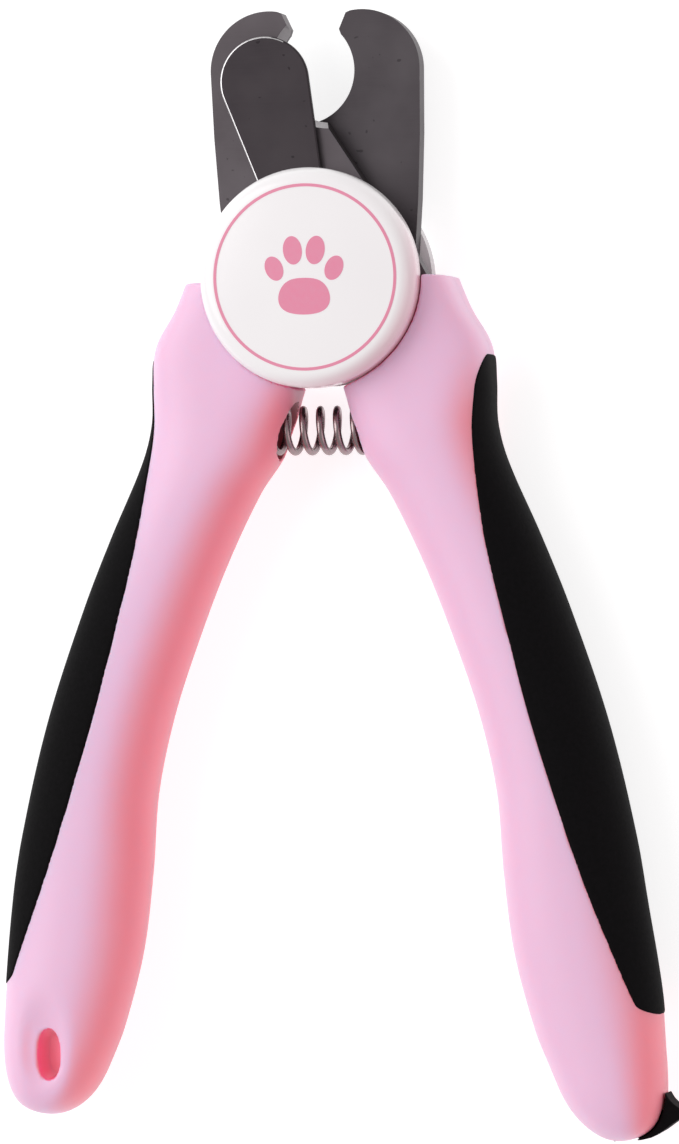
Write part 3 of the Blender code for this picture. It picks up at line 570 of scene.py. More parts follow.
def grip_stations(side, margin):
    """Distances of the grip's sections, closer together round its tips."""
    start, end = GRIP_START - margin, GRIP_END[side] + margin
    first = start + GRIP_TOP_LENGTH
    last = end - GRIP_END_LENGTH
    closeness = [1 - cos(pi / 2 * i / 12) for i in range(1, 12)]
    top = [start + GRIP_TOP_LENGTH * share for share in closeness]
    tail = [end - GRIP_END_LENGTH * share for share in reversed(closeness)]
    count = round((last - first) / STATION_STEP)
    middle = [first + (last - first) * i / count for i in range(count + 1)]
    return top + middle + tail


def grip_sweep(limit, steps=44):
    """Section angles from one edge of the grip to the other, closer together at both."""
    angles = []
    for step in range(steps + 1):
        across = 2 * step / steps - 1
        angles.append(limit * copysign(1 - (1 - abs(across)) ** 1.5, across))
    return angles


def turned_in(space):
    """How far a rounded rim has sunk at a distance from its edge."""
    if space >= GRIP_ROUNDING:
        return 0.0
    return GRIP_ROUNDING * (1 - sqrt(1 - (1 - max(space, 0) / GRIP_ROUNDING) ** 2))


def grip_ring(side, distance):
    """A C-shaped section whose thin rim lies on the handle and turns in at its edge."""
    centre, half_width, half_depth, power = handle_size(side, distance)
    limit = grip_limit(side, distance, GRIP_LIP)
    end_space = min(distance - GRIP_START, GRIP_END[side] - distance) + GRIP_LIP
    points = []
    for angle in grip_sweep(limit):
        edge_space = (limit - abs(angle)) * half_width
        inset = turned_in(edge_space) + turned_in(end_space) - GRIP_PROUD
        x, z = superellipse(centre, half_width - inset, half_depth - inset, power, angle)
        points.append(handle_point(side, x, distance, z))
    inner_distance = min(max(distance, GRIP_START + 0.01), GRIP_END[side] - 0.01)
    inner_limit = grip_limit(side, inner_distance, 0.0)
    centre, half_width, half_depth, power = handle_size(side, inner_distance)
    for angle in reversed(grip_sweep(inner_limit)):
        x, z = superellipse(centre, half_width - GRIP_THICKNESS, half_depth - GRIP_THICKNESS,
                            power, angle)
        points.append(handle_point(side, x, inner_distance, z))
    return points


def grip(side):
    rings = [grip_ring(side, distance) for distance in grip_stations(side, GRIP_LIP)]
    return loft(f"{side_name(side)}_grip_skin", rings)


def groove_ring(side, distance):
    """The recess for the grip: past the handle's skin outside, and clear of the grip inside."""
    centre, half_width, half_depth, power = handle_size(side, distance)
    sweep = grip_sweep(grip_limit(side, distance, CLEARANCE))
    points = []
    for inset, angles in ((-1.5, sweep), (GRIP_THICKNESS + CLEARANCE, sweep[::-1])):
        for angle in angles:
            x, z = superellipse(centre, half_width - inset, half_depth - inset, power, angle)
            points.append(handle_point(side, x, distance, z))
    return points


def grip_groove(side):
    return loft("groove", [groove_ring(side, d) for d in grip_stations(side, CLEARANCE)])


# ---------------------------------------------------------------- blades and guard

def in_metres(points):
    return [(x * MM, y * MM) for x, y in points]


def blade_outline(tilt):
    """Anticlockwise outline of the blade whose tip is at +X. Its tang runs to -X."""
    notch = arc(NOTCH_CENTRE, NOTCH_RADIUS, *NOTCH_ARC, 60)
    nose = arc(TIP_CENTRE, TIP_RADIUS, radians(100), 0, 36)
    turn = Matrix.Rotation(tilt, 2)
    head = [*notch, *in_metres(TIP_CORNERS), *nose, *in_metres(BLADE_BACK)]
    head = [tuple(turn @ Vector(point)) for point in head]
    hub = arc((0, 0), HUB_RADIUS, radians(8), radians(-126), 40)
    tang = [tuple(handle_place(LEFT, x, d)) for x, d in TANG]
    clockwise = [*head, *hub, *tang, *in_metres(BLADE_HEEL)]
    return clockwise[::-1]


def rear_blade_outline():
    return blade_outline(HEAD_TILT)


def front_blade_outline():
    return [(-x, y) for x, y in reversed(blade_outline(-HEAD_TILT))]


def grinding_cone(side, layer):
    """A cone on the notch's axis that grinds the blade's outer face to an edge."""
    low, high = layer
    x, y = NOTCH_CENTRE
    centre = Matrix.Rotation(HEAD_TILT, 2) @ Vector((side * x, y))
    depth = (high - low) * GROUND_SHARE
    spare = 0.6 * MM
    wide = NOTCH_RADIUS + GROUND_REACH * (1 + spare / depth)
    if side == RIGHT:
        return cylinder("cone", wide, low - spare, low + depth, centre, 128, NOTCH_RADIUS)
    return cylinder("cone", NOTCH_RADIUS, high - depth, high + spare, centre, 128, wide)


def mark_ground_faces(mesh):
    """Give the slanting faces that the grinding left the second material."""
    for face in mesh.polygons:
        if 0.25 < abs(face.normal.z) < 0.97:
            face.material_index = 1


def blade(name, outline, side, layer):
    """A plate with a ground notch and softened edges. Its tang runs to the other side."""
    low, high = layer
    item = plate(name, outline, low, high)
    holes = [cylinder("hole", BUSH_HOLE_RADIUS, low - MM, high + MM)]
    holes += [cylinder("hole", SCREW_HOLE_RADIUS, low - MM, high + MM, handle_place(-side, x, d), 32)
              for x, d in TANG_SCREWS]
    cut_with(item, [grinding_cone(side, layer), *holes])
    mark_ground_faces(item.data)
    return bevelled(item, BLADE_BEVEL, 2, 25)


def guard_outline():
    """A paddle from the pivot to its round head, drawn upright and then tilted."""
    head = arc((0, GUARD_HEAD_DISTANCE), GUARD_HEAD_RADIUS, radians(-8), radians(188), 80)
    hub = arc((0, 0), GUARD_HUB_RADIUS, radians(140), radians(400), 60)
    neck_x, neck_y = GUARD_NECK
    turn = Matrix.Rotation(GUARD_TILT, 2)
    outline = [*head, (-neck_x, neck_y), *hub, (neck_x, neck_y)]
    return [tuple(turn @ Vector(point)) for point in outline]


def guard():
    """The sheet-metal guard, with a painted highlight: bright steel on the bevel down its outer side
    and over its top.
    """
    item = plate("guard_sheet", guard_outline(), *GUARD_Z)
    cut_with(item, [cylinder("hole", BUSH_HOLE_RADIUS, GUARD_Z[0] - MM, GUARD_Z[1] + MM)])
    bevelled(item, GUARD_BEVEL, 3, 25)
    # Painted highlight: bevel faces that turn up and away from +X get the bright steel
    for face in item.data.polygons:
        if 0.15 < face.normal.z < 0.99 and face.normal.x < 0.12:
            face.material_index = 1
    return item


# ---------------------------------------------------------------- shells

def tang_slot(side):
    outline = rear_blade_outline() if side == LEFT else front_blade_outline()
    low, high = REAR_BLADE_Z if side == LEFT else FRONT_BLADE_Z
    margin = 0.1 * MM
    past = 0.6 * MM
    low, high = (low - margin, high + past) if side == LEFT else (low - past, high + margin)
    return plate("slot", grown(outline, margin), low, high)


def screw_places(side):
    return [*TANG_SCREWS, LOWER_SCREW[side]]


def screw_holes(side):
    """Counterbores for the screw heads, open at the handle's back."""
    tools = []
    for number, (x, distance) in enumerate(screw_places(side), start=1):
        low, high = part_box(f"{side_name(side)}_screw_{number}")
        place = handle_place(side, x, distance)
        floor = low.z + SCREW_HEAD_HEIGHT + 0.1 * MM
        tools.append(cylinder("bore", SCREW_HEAD_RADIUS + 0.15 * MM, -MM, floor, place, 48))
        tools.append(cylinder("shaft", SCREW_SHANK_RADIUS + 0.1 * MM, 0, high.z + 0.1 * MM, place, 32))
    return tools


def hanging_hole():
    """The oval hole through the left handle, moulded a little wider at the front."""
    place = handle_place(LEFT, *HOLE_PLACE)
    steps = 64
    rings = []
    for height, draft in ((-MM, HOLE_DRAFT), (20 * MM, 0)):
        ring = []
        for step in range(steps):
            x, y = superellipse(0, HOLE_HALF_WIDTH - draft, HOLE_LENGTH / 2 - draft, HOLE_POWER,
                                2 * pi * step / steps)
            ring.append((place.x + x, place.y + y, height))
        rings.append(ring)
    return [loft("hole", rings)]


def dish_round_hole(mesh):
    """Sink the left handle's faces softly round the hanging hole, deepest at its outer side."""
    place = handle_place(LEFT, *HOLE_PLACE)
    points = coordinates(mesh)
    across = (points[:, 0] - place.x - DISH_SHIFT[0]) / DISH_RADII[0]
    along = (points[:, 1] - place.y - DISH_SHIFT[1]) / DISH_RADII[1]
    share = np.exp(-(across ** 2 + along ** 2) ** 1.5)
    points[:, 2] += (MID_Z - points[:, 2]) * DISH_DEPTH * share
    set_coordinates(mesh, points)


def mark_hollows(mesh, side):
    """Give the hanging hole's and cap socket's walls the second material, a deeper red painted shade
    with a faint painted glow, and the pocket the third, a dark painted shade.
    """
    place = handle_place(LEFT, *HOLE_PLACE)
    pocket = POCKET_RADIUS + 0.1 * MM
    socket = ARC_RADIUS + 0.3 * MM
    reach = HOLE_HALF_WIDTH + 0.1 * MM
    for face in mesh.polygons:
        x, y, z = face.center
        upright = abs(face.normal.z) < 0.55
        in_pocket = abs(x) < POCKET_DEPTH and sqrt((y - SPRING_Y) ** 2 + (z - MID_Z) ** 2) < pocket
        beside_hole = abs(x - place.x) < reach and abs(y - place.y) < HOLE_LENGTH / 2
        round_cap = sqrt(x * x + y * y) < socket
        if in_pocket:
            face.material_index = 2
        elif upright and (round_cap or (side == LEFT and beside_hole)):
            face.material_index = 1


def handle_box(name, x_range, d_range, half_depth):
    """A box in the right handle's own frame, centred on the mid plane."""
    low = (x_range[0] * MM, -d_range[1] * MM, MID_Z - half_depth * MM)
    high = (x_range[1] * MM, -d_range[0] * MM, MID_Z + half_depth * MM)
    return in_right_handle(box(name, low, high))


def file_mouth():
    """The slot in the right handle's end that the plug fills, and the channel for the file."""
    margin = 0.1
    wide = (PLUG_X[0] - margin, PLUG_X[1] + margin)
    narrow = (FILE_X[0] - margin, FILE_X[1] + margin)
    mouth = handle_box("mouth", wide, (MOUTH_START, PAST_HANDLE), PLUG_HALF_DEPTH + margin)
    channel = handle_box("channel", narrow, FILE_D, FILE_CHANNEL_HALF_DEPTH)
    return [mouth, channel]


def shell(side, face):
    face_name = "front" if face == FRONT else "back"
    name = f"{side_name(side)}_{face_name}_moulding"
    item = loft(name, [half_section(side, face, d) for d in handle_stations(side)])
    tools = [cylinder("arc", ARC_RADIUS, -2 * MM, 21 * MM, segments=200)]
    tools.append(cylinder_along_x("pocket", POCKET_RADIUS, 0, side * POCKET_DEPTH, SPRING_Y, MID_Z))
    tools.append(grip_groove(side))
    tools += hanging_hole() if side == LEFT else file_mouth()
    if (side, face) in ((LEFT, BACK), (RIGHT, FRONT)):
        tools.append(tang_slot(side))
    if face == BACK:
        tools += screw_holes(side)
    cut_with(item, tools)
    remeshed(item, SHELL_VOXEL, SMOOTHING_ROUNDS)
    snap_to_handle(item.data, side)
    cut_flat(item, MID_Z + face * SEAM, face)
    if side == LEFT:
        dish_round_hole(item.data)
    mark_hollows(item.data, side)
    return item


# ---------------------------------------------------------------- caps

def cap_height(radius):
    """Height of the front cap's crowned top at a distance from its centre."""
    if radius <= FRONT_CAP_FLAT:
        return FRONT_CAP_Z[1] - FRONT_CAP_CROWN * (radius / FRONT_CAP_FLAT) ** 2
    drop = FRONT_CAP_SHOULDER ** 2 - (radius - FRONT_CAP_FLAT) ** 2
    return FRONT_SHOULDER_Z + sqrt(max(0.0, drop))


def front_cap():
    low, top = FRONT_CAP_Z
    inside = FRONT_CAP_RADIUS - CAP_WALL
    lip = 0.3 * MM
    radii = [FRONT_CAP_FLAT * step / 14 for step in range(14)]
    crown = [(radius, cap_height(radius)) for radius in radii]
    rounding = arc((FRONT_CAP_FLAT, FRONT_SHOULDER_Z), FRONT_CAP_SHOULDER, pi / 2, 0, 24)
    foot = FRONT_CAP_RADIUS - FRONT_CAP_TAPER
    skirt = [(FRONT_CAP_RADIUS, FRONT_CAP_RIM_Z), (foot + 0.05 * MM, low + lip), (foot - lip, low)]
    ceiling = top - FRONT_CAP_ROOF
    hollow = [(inside - FRONT_CAP_TAPER, low), (inside, FRONT_CAP_RIM_Z), (inside, FRONT_SHOULDER_Z),
              (inside - FRONT_CAP_SHOULDER / 2, ceiling), (0, ceiling)]
    return lathe("front_cap_moulding", crown + rounding + skirt + hollow, 180)


def rear_cap():
    low, high = REAR_CAP_Z
    inside = REAR_CAP_RADIUS - CAP_WALL
    floor = low + REAR_CAP_FLOOR
    edge_centre = (REAR_CAP_RADIUS - REAR_CAP_EDGE, low + REAR_CAP_EDGE)
    rounding = arc(edge_centre, REAR_CAP_EDGE, 0, -pi / 2, 20)
    hollow = [(0, floor), (inside - REAR_CAP_EDGE / 2, floor), (inside, floor + REAR_CAP_EDGE / 2),
              (inside, high), (REAR_CAP_RADIUS, high)]
    return lathe("rear_cap_moulding", hollow + rounding + [(0, low)], 180)


def print_rings(outline):
    """An outline just above the cap's crown, and the same outline just below it."""
    rings = []
    for lift in (PRINT_LIFT, -PRINT_SINK):
        rings.append([(x, y, cap_height(sqrt(x * x + y * y)) + lift) for x, y in outline])
    return rings


def ellipse(centre, radii, turn, steps=40):
    points = []
    for step in range(steps):
        angle = 2 * pi * step / steps
        point = Vector((radii[0] * cos(angle), radii[1] * sin(angle)))
        point.rotate(Matrix.Rotation(turn, 2))
        points.append((centre[0] + point.x, centre[1] + point.y))
    return points


def paw_pad(steps=60):
    """A rounded heel pad: wide below, and drawn in at its top."""
    points = []
    for step in range(steps):
        angle = 2 * pi * step / steps
        width = 3.9 - 0.75 * sin(angle)
        height = 3.1 + 0.35 * cos(2 * angle) - 0.3 * sin(angle)
        points.append((width * cos(angle) * MM, (height * sin(angle) - 2.6) * MM))
    return points


def toe_pads():
    """Four oval toes, in mirrored pairs."""
    outlines = []
    for (x, y), radii, turn in (INNER_TOE, OUTER_TOE):
        outlines += [ellipse((side * x, y), radii, side * turn) for side in (LEFT, RIGHT)]
    return outlines


def cap_print():
    """The printed ring and paw on the front cap."""
    bm = bmesh.new()
    for outline in [paw_pad(), *toe_pads()]:
        add_loft(bm, print_rings(outline))
    inner, outer = RING_RADII
    segments = 160
    angles = [2 * pi * step / segments for step in range(segments)]
    rows = []
    for radius, lift in ((inner, -PRINT_SINK), (inner, PRINT_LIFT), (outer, PRINT_LIFT),
                         (outer, -PRINT_SINK)):
        height = cap_height(radius) + lift
        rows.append([bm.verts.new((radius * cos(a), radius * sin(a), height)) for a in angles])
    join_rings(bm, [*rows, rows[0]])
    return new_object("cap_print", finish_mesh(bm, "cap_print", 40))


# ---------------------------------------------------------------- spring, screws, file

def spring_path():
    """Points along the wire's helix, whose end turns lie close together."""
    coil = (SPRING_BOX[1].y - SPRING_BOX[0].y) / 2 - SPRING_WIRE_RADIUS
    start = SPRING_BOX[0].x + SPRING_END_GAP + SPRING_WIRE_RADIUS
    end = SPRING_BOX[1].x - SPRING_END_GAP - SPRING_WIRE_RADIUS
    live_turns = SPRING_TURNS - 2 * SPRING_DEAD_TURNS
    live_length = end - start - 2 * SPRING_CLOSED_PITCH * SPRING_DEAD_TURNS
    steps = int(SPRING_TURNS * 48)
    path = []
    for step in range(steps + 1):
        turn = SPRING_TURNS * step / steps
        middle = min(max((turn - SPRING_DEAD_TURNS) / live_turns, 0), 1)
        dead = min(turn, SPRING_DEAD_TURNS) + max(0, turn - (SPRING_TURNS - SPRING_DEAD_TURNS))
        x = start + SPRING_CLOSED_PITCH * dead + live_length * middle
        angle = 2 * pi * turn
        path.append(Vector((x, SPRING_Y + coil * cos(angle), MID_Z + coil * sin(angle))))
    return path


def coil_spring():
    """A round wire swept along the helix."""
    path = spring_path()
    sides = 14
    rings = []
    for index, point in enumerate(path):
        before = path[max(index - 1, 0)]
        after = path[min(index + 1, len(path) - 1)]
        along = (after - before).normalized()
        outward = Vector((0, point.y - SPRING_Y, point.z - MID_Z)).normalized()
        outward = (outward - along * outward.dot(along)).normalized()
        across = along.cross(outward)
        ring = []
        for step in range(sides):
            angle = 2 * pi * step / sides
            ring.append(point + SPRING_WIRE_RADIUS * (outward * cos(angle) + across * sin(angle)))
        rings.append(ring)
    return loft("spring_wire", rings)


def handle_screw(side, number, place):
    """A pan-head screw with a cross recess."""
    low, high = (corner.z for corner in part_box(f"{side_name(side)}_screw_{number}"))
    head = SCREW_HEAD_RADIUS
    neck = low + SCREW_HEAD_HEIGHT
    dome = [(0, low), (head * 0.5, low + 0.04 * MM), (head * 0.82, low + 0.2 * MM),
            (head, low + 0.6 * MM), (head, neck)]
    shank = [(SCREW_SHANK_RADIUS, neck), (SCREW_SHANK_RADIUS, high - MM), (0, high)]
    item = lathe(f"{side_name(side)}_cross_screw_{number}", (dome + shank)[::-1], 48)
    long, short, depth = SCREW_CROSS
    cut_with(item, [box("arm", (-half_x, -half_y, low - MM), (half_x, half_y, low + depth))
                    for half_x, half_y in ((long, short), (short, long))])
    x, y = handle_place(side, *place)
    item.data.transform(Matrix.Translation((x, y, 0)))
    item.data.shade_smooth()
    item.data.set_sharp_from_angle(angle=radians(40))
    return item


def end_outline(distances, gap):
    """Points just outside the right handle's outline near its end, from the outer side down."""
    points = []
    for distance in distances:
        centre, half_width, _, _ = handle_size(RIGHT, distance)
        points.append((centre + half_width, -distance))
    # One more point, nearly level with the last, gives the last its direction
    points.append((points[-1][0] - 1.0, -distances[-1] - 0.05))
    moved = []
    for before, after in zip(points, points[1:]):
        along = atan2(after[1] - before[1], after[0] - before[0])
        moved.append((before[0] - gap * sin(along), before[1] + gap * cos(along)))
    return moved


def tab_outline():
    """A thumb tab that hugs the handle's end and flares past its outer corner."""
    distances = [TAB_TOP + 0.5 * step for step in range(11)] + [137.5, HANDLE_LENGTH[RIGHT] - 0.08]
    return in_metres([*end_outline(distances, TAB_GAP), *TAB_TAIL])


def plug_outline():
    """The plug that fills the handle's mouth, out to the handle's own rounded end."""
    distances = [PLUG_TOP + 0.4 * step for step in range(6)] + [HANDLE_LENGTH[RIGHT] - 0.25]
    rim = [(min(x, PLUG_X[1]), y) for x, y in end_outline(distances, PLUG_GAP)]
    corners = [(PLUG_X[0], rim[-1][1] + 0.5), (PLUG_X[0], -PLUG_START), (PLUG_X[1], -PLUG_START)]
    return in_metres([*rim, *corners])


def in_right_handle(item):
    item.data.transform(Matrix.Rotation(OPEN_HALF_ANGLE, 4, "Z"))
    return item


def file_tab():
    """The plug that holds the file's root, and the soft-edged thumb tab on it."""
    low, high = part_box("file_tab")
    half = (high.z - low.z) / 2
    item = in_right_handle(plate("thumb_tab", tab_outline(), MID_Z - half, MID_Z + half, 60))
    depth = PLUG_HALF_DEPTH * MM
    plug = in_right_handle(plate("plug", plug_outline(), MID_Z - depth, MID_Z + depth))
    boolean(item, plug, "UNION")
    apply_modifiers(item)
    bpy.data.objects.remove(plug)
    margin = 0.1
    root_x = (FILE_X[0] - margin, FILE_X[1] + margin)
    root_d = (FILE_ROOT_START, FILE_D[1] + margin)
    cut_with(item, [handle_box("root", root_x, root_d, FILE_ROOT_HALF_DEPTH)])
    return remeshed(item, TAB_VOXEL, TAB_ROUNDS)


# ---------------------------------------------------------------- materials

def node(tree, kind, **inputs):
    """Add a shader node and set its inputs by name, with _ for a space."""
    item = tree.nodes.new(kind)
    for name, value in inputs.items():
        item.inputs[name.replace("_", " ")].default_value = value
    return item


def new_material(name, color, roughness, metallic=0.0):
    material = bpy.data.materials.new(name)
    material.use_nodes = True
    shader = material.node_tree.nodes["Principled BSDF"]
    shader.inputs["Base Color"].default_value = (*color, 1)
    shader.inputs["Roughness"].default_value = roughness
    shader.inputs["Metallic"].default_value = metallic
    return material, material.node_tree, shader


def add_place(tree, scale):
    """Object coordinates, stretched by a scale on each axis."""
    place = tree.nodes.new("ShaderNodeTexCoord")
    mapping = tree.nodes.new("ShaderNodeMapping")
    mapping.inputs["Scale"].default_value = scale
    tree.links.new(place.outputs["Object"], mapping.inputs["Vector"])
    return mapping.outputs["Vector"]


def add_noise(tree, scale, detail=3.0, stretch=(1, 1, 1)):
    noise = node(tree, "ShaderNodeTexNoise", Scale=scale, Detail=detail)
    tree.links.new(add_place(tree, stretch), noise.inputs["Vector"])
    return noise.outputs["Fac"]


def add_range(tree, value, low, high, from_low=0.0, from_high=1.0, smooth=False):
    item = tree.nodes.new("ShaderNodeMapRange")
    if smooth:
        item.interpolation_type = "SMOOTHSTEP"
    item.inputs["From Min"].default_value = from_low
    item.inputs["From Max"].default_value = from_high
    item.inputs["To Min"].default_value = low
    item.inputs["To Max"].default_value = high
    tree.links.new(value, item.inputs["Value"])
    return item.outputs["Result"]


def add_mix(tree, share, first, second):
    """Mix two colours; each is a colour or another node's output."""
    item = tree.nodes.new("ShaderNodeMix")
    item.data_type = "RGBA"
    tree.links.new(share, item.inputs["Factor"])
    for socket, value in ((item.inputs[6], first), (item.inputs[7], second)):
        if isinstance(value, tuple):
            socket.default_value = (*value, 1)
        else:
            tree.links.new(value, socket)
    return item.outputs[2]


def add_bump(tree, shader, height, strength, distance):
    bump = node(tree, "ShaderNodeBump", Strength=strength, Distance=distance)
    tree.links.new(height, bump.inputs["Height"])
    tree.links.new(bump.outputs["Normal"], shader.inputs["Normal"])


def facing_share(tree, direction, low, high):
    """How far a face looks in a direction: 0 up to the low value of the cosine, 1 from the high."""
    geometry = tree.nodes.new("ShaderNodeNewGeometry")
    product = tree.nodes.new("ShaderNodeVectorMath")
    product.operation = "DOT_PRODUCT"
    product.inputs[1].default_value = direction
    tree.links.new(geometry.outputs["Normal"], product.inputs[0])
    return add_range(tree, product.outputs["Value"], 0.0, 1.0, low, high, smooth=True)


def below_top(tree):
    """Where the pink's painted shade applies: 0 on the handles' thick tops by the pivot, rising to 1
    on the slimmer handles below.
    """
    split = tree.nodes.new("ShaderNodeSeparateXYZ")
    tree.links.new(add_place(tree, (1, 1, 1)), split.inputs["Vector"])
    return add_range(tree, split.outputs["Y"], 1.0, 0.1, -23 * MM, -9 * MM, smooth=True)


def pink_plastic(name, pale, shade_glow_color, glow=0.0):
    """Satin moulded plastic, a little translucent. The flanks that face +X, away from the handles'
    tops, get a deeper, redder colour: painted shade, standing in for the shade and scattered light on
    them. A glow, where set, is painted light in that colour."""
    material, tree, shader = new_material(name, pale, 0.42)
    # Painted shade: the share of the deeper colour, on flanks that face +X below the handles' tops
    share = tree.nodes.new("ShaderNodeMath")
    share.operation = "MULTIPLY"
    tree.links.new(facing_share(tree, (1, 0, 0), 0.0, 0.76), share.inputs[0])
    tree.links.new(below_top(tree), share.inputs[1])
    body = add_mix(tree, share.outputs["Value"], pale, shade_glow_color)
    cloud = add_range(tree, add_noise(tree, 55, 2), 0.0, 0.08)
    color = add_mix(tree, cloud, body, (0.92, 0.66, 0.80))
    tree.links.new(color, shader.inputs["Base Color"])
    tree.links.new(add_range(tree, add_noise(tree, 900, 3), 0.38, 0.48), shader.inputs["Roughness"])
    add_bump(tree, shader, add_noise(tree, 2600, 2), 0.12, 0.00003)
    shader.inputs["Subsurface Weight"].default_value = 0.35
    shader.inputs["Subsurface Radius"].default_value = (1.0, 0.25, 0.25)
    shader.inputs["Subsurface Scale"].default_value = 0.004
    # The emission is a painted glow in the painted shade colour, wherever glow is above 0
    shader.inputs["Emission Color"].default_value = (*shade_glow_color, 1)
    shader.inputs["Emission Strength"].default_value = glow
    return material


def black_rubber():
    """Matte overmoulded rubber with a fine spark texture."""
    material, tree, shader = new_material("black_rubber", (0.003, 0.003, 0.003), 0.75)
    shade = add_mix(tree, add_noise(tree, 1400, 2), (0.001, 0.001, 0.001), (0.004, 0.003, 0.004))
    tree.links.new(shade, shader.inputs["Base Color"])
    tree.links.new(add_range(tree, add_noise(tree, 1800, 3), 0.7, 0.86), shader.inputs["Roughness"])
    add_bump(tree, shader, add_noise(tree, 3200, 2), 0.3, 0.00005)
    shader.inputs["Specular IOR Level"].default_value = 0.1
    return material


def white_plastic(name, flank, side):
    """Glossy white plastic with faint clouds; the flank that faces a side gets another tone, painted
    shade.
    """
    material, tree, shader = new_material(name, (0.96, 0.94, 0.95), 0.16)
    shade = add_mix(tree, add_noise(tree, 60, 2), (0.98, 0.96, 0.965), (0.93, 0.90, 0.915))
    # Painted shade: the flank colour on faces turned towards the side
    color = add_mix(tree, facing_share(tree, side, 0.1, 0.9), shade, flank)
    tree.links.new(color, shader.inputs["Base Color"])
    tree.links.new(add_range(tree, add_noise(tree, 300, 2), 0.12, 0.2), shader.inputs["Roughness"])
    add_bump(tree, shader, add_noise(tree, 1500, 2), 0.04, 0.00002)
    return material


def pink_ink():
    material, tree, shader = new_material("pink_ink", (0.83, 0.26, 0.40), 0.4)
    shade = add_mix(tree, add_noise(tree, 1200, 3), (0.84, 0.25, 0.39), (0.80, 0.30, 0.43))
    tree.links.new(shade, shader.inputs["Base Color"])
    add_bump(tree, shader, add_noise(tree, 2500, 2), 0.1, 0.00002)
    return material


def ground_steel(name, dark, light, roughness):
    """Satin steel: very fine grinding lines across the clipper, soft clouds and a few specks."""
    material, tree, shader = new_material(name, dark, roughness, 1.0)
    lines = add_noise(tree, 4200, 3, (0.05, 1, 1))
    cloud = add_noise(tree, 90, 3)
    body = add_mix(tree, add_range(tree, cloud, 0.0, 1.0, 0.35, 0.65), dark, light)
    lined = add_mix(tree, add_range(tree, lines, 0.0, 0.25, 0.4, 0.7), body, light)
    specks = add_range(tree, add_noise(tree, 1100, 0), 0.0, 0.5, 0.8, 0.84)
    color = add_mix(tree, specks, lined, tuple(0.3 * value for value in dark))
    tree.links.new(color, shader.inputs["Base Color"])
    worn = add_range(tree, lines, roughness - 0.04, roughness + 0.05)
    tree.links.new(worn, shader.inputs["Roughness"])
    add_bump(tree, shader, lines, 0.05, 0.00002)
    return material


def plated_steel(name, dark, light):
    """Bright plated steel with faint clouds."""
    material, tree, shader = new_material(name, light, 0.25, 1.0)
    cloud = add_noise(tree, 600, 3)
    tree.links.new(add_mix(tree, cloud, dark, light), shader.inputs["Base Color"])
    tree.links.new(add_range(tree, cloud, 0.2, 0.34), shader.inputs["Roughness"])
    add_bump(tree, shader, add_noise(tree, 2800, 2), 0.06, 0.00002)
    return material


def file_steel():
    """Cross-cut file teeth: two sets of fine slanting lines."""
    material, tree, shader = new_material("file_steel", (0.35, 0.35, 0.35), 0.4, 1.0)
    total = None
    for slant in (radians(25), radians(-35)):
        wave = node(tree, "ShaderNodeTexWave", Scale=450)
        wave.bands_direction = "Y"
        vector = add_place(tree, (1, 1, 1))
        vector.node.inputs["Rotation"].default_value = (0, 0, slant)
        tree.links.new(vector, wave.inputs["Vector"])
        if total is None:
            total = wave.outputs["Fac"]
        else:
            item = tree.nodes.new("ShaderNodeMath")
            item.operation = "MULTIPLY"
            tree.links.new(total, item.inputs[0])
            tree.links.new(wave.outputs["Fac"], item.inputs[1])
            total = item.outputs["Value"]
    shade = add_mix(tree, total, (0.25, 0.25, 0.25), (0.55, 0.55, 0.54))
    tree.links.new(shade, shader.inputs["Base Color"])
    add_bump(tree, shader, total, 0.5, 0.0001)
    return material


def floor_paint():
    """A white studio table, lit from below so that shadows stay faint."""
    material, tree, shader = new_material("floor_paint", (0.5, 0.5, 0.5), 0.9)
    shade = add_mix(tree, add_noise(tree, 3, 2), (0.51, 0.51, 0.51), (0.49, 0.49, 0.49))
    tree.links.new(shade, shader.inputs["Base Color"])
    shader.inputs["Specular IOR Level"].default_value = 0.1
    shader.inputs["Emission Color"].default_value = (1, 1, 1, 1)
    shader.inputs["Emission Strength"].default_value = FLOOR_GLOW
    return material


def paint(item, *materials):
    """Fill an item's material slots in order; its faces keep their slot numbers."""
    while len(item.material_slots) < len(materials):
        item.data.materials.append(None)
    for slot, material in zip(item.material_slots, materials):
        slot.material = material


# ---------------------------------------------------------------- assembly

def place_piece(item, node_name, body, slot, *materials):
    """Ride a piece on its body in place of its CAD node."""
    paint(item, *materials)
    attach(item, body)
    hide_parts(node_name)
    return item


def build_handles(rubber, steel):
    pink = pink_plastic("pink_plastic", (0.88, 0.55, 0.76), (0.97, 0.25, 0.31))
    # Hanging hole and cap socket walls: a deeper red painted shade, with a faint painted glow
    hollow = pink_plastic("pink_hollow_shade_glow", (0.95, 0.2, 0.38), (0.95, 0.14, 0.3), 0.08)
    # Spring pocket: a dark painted shade in the recess
    pocket = pink_plastic("pink_pocket_shade", (0.45, 0.14, 0.17), (0.4, 0.10, 0.12))
    pinks = (pink, hollow, pocket)
    for side in (LEFT, RIGHT):
        name = side_name(side)
        body = body_name(side)
        for face, face_name in ((FRONT, "front"), (BACK, "back")):
            node_name = f"{name}_{face_name}_shell"
            place_piece(shell(side, face), node_name, body, "pink_plastic", *pinks)
        place_piece(grip(side), f"{name}_grip", body, "black_rubber", rubber)
        for number, place in enumerate(screw_places(side), start=1):
            screw = handle_screw(side, number, place)
            place_piece(screw, f"{name}_screw_{number}", body, "bright_steel", steel)


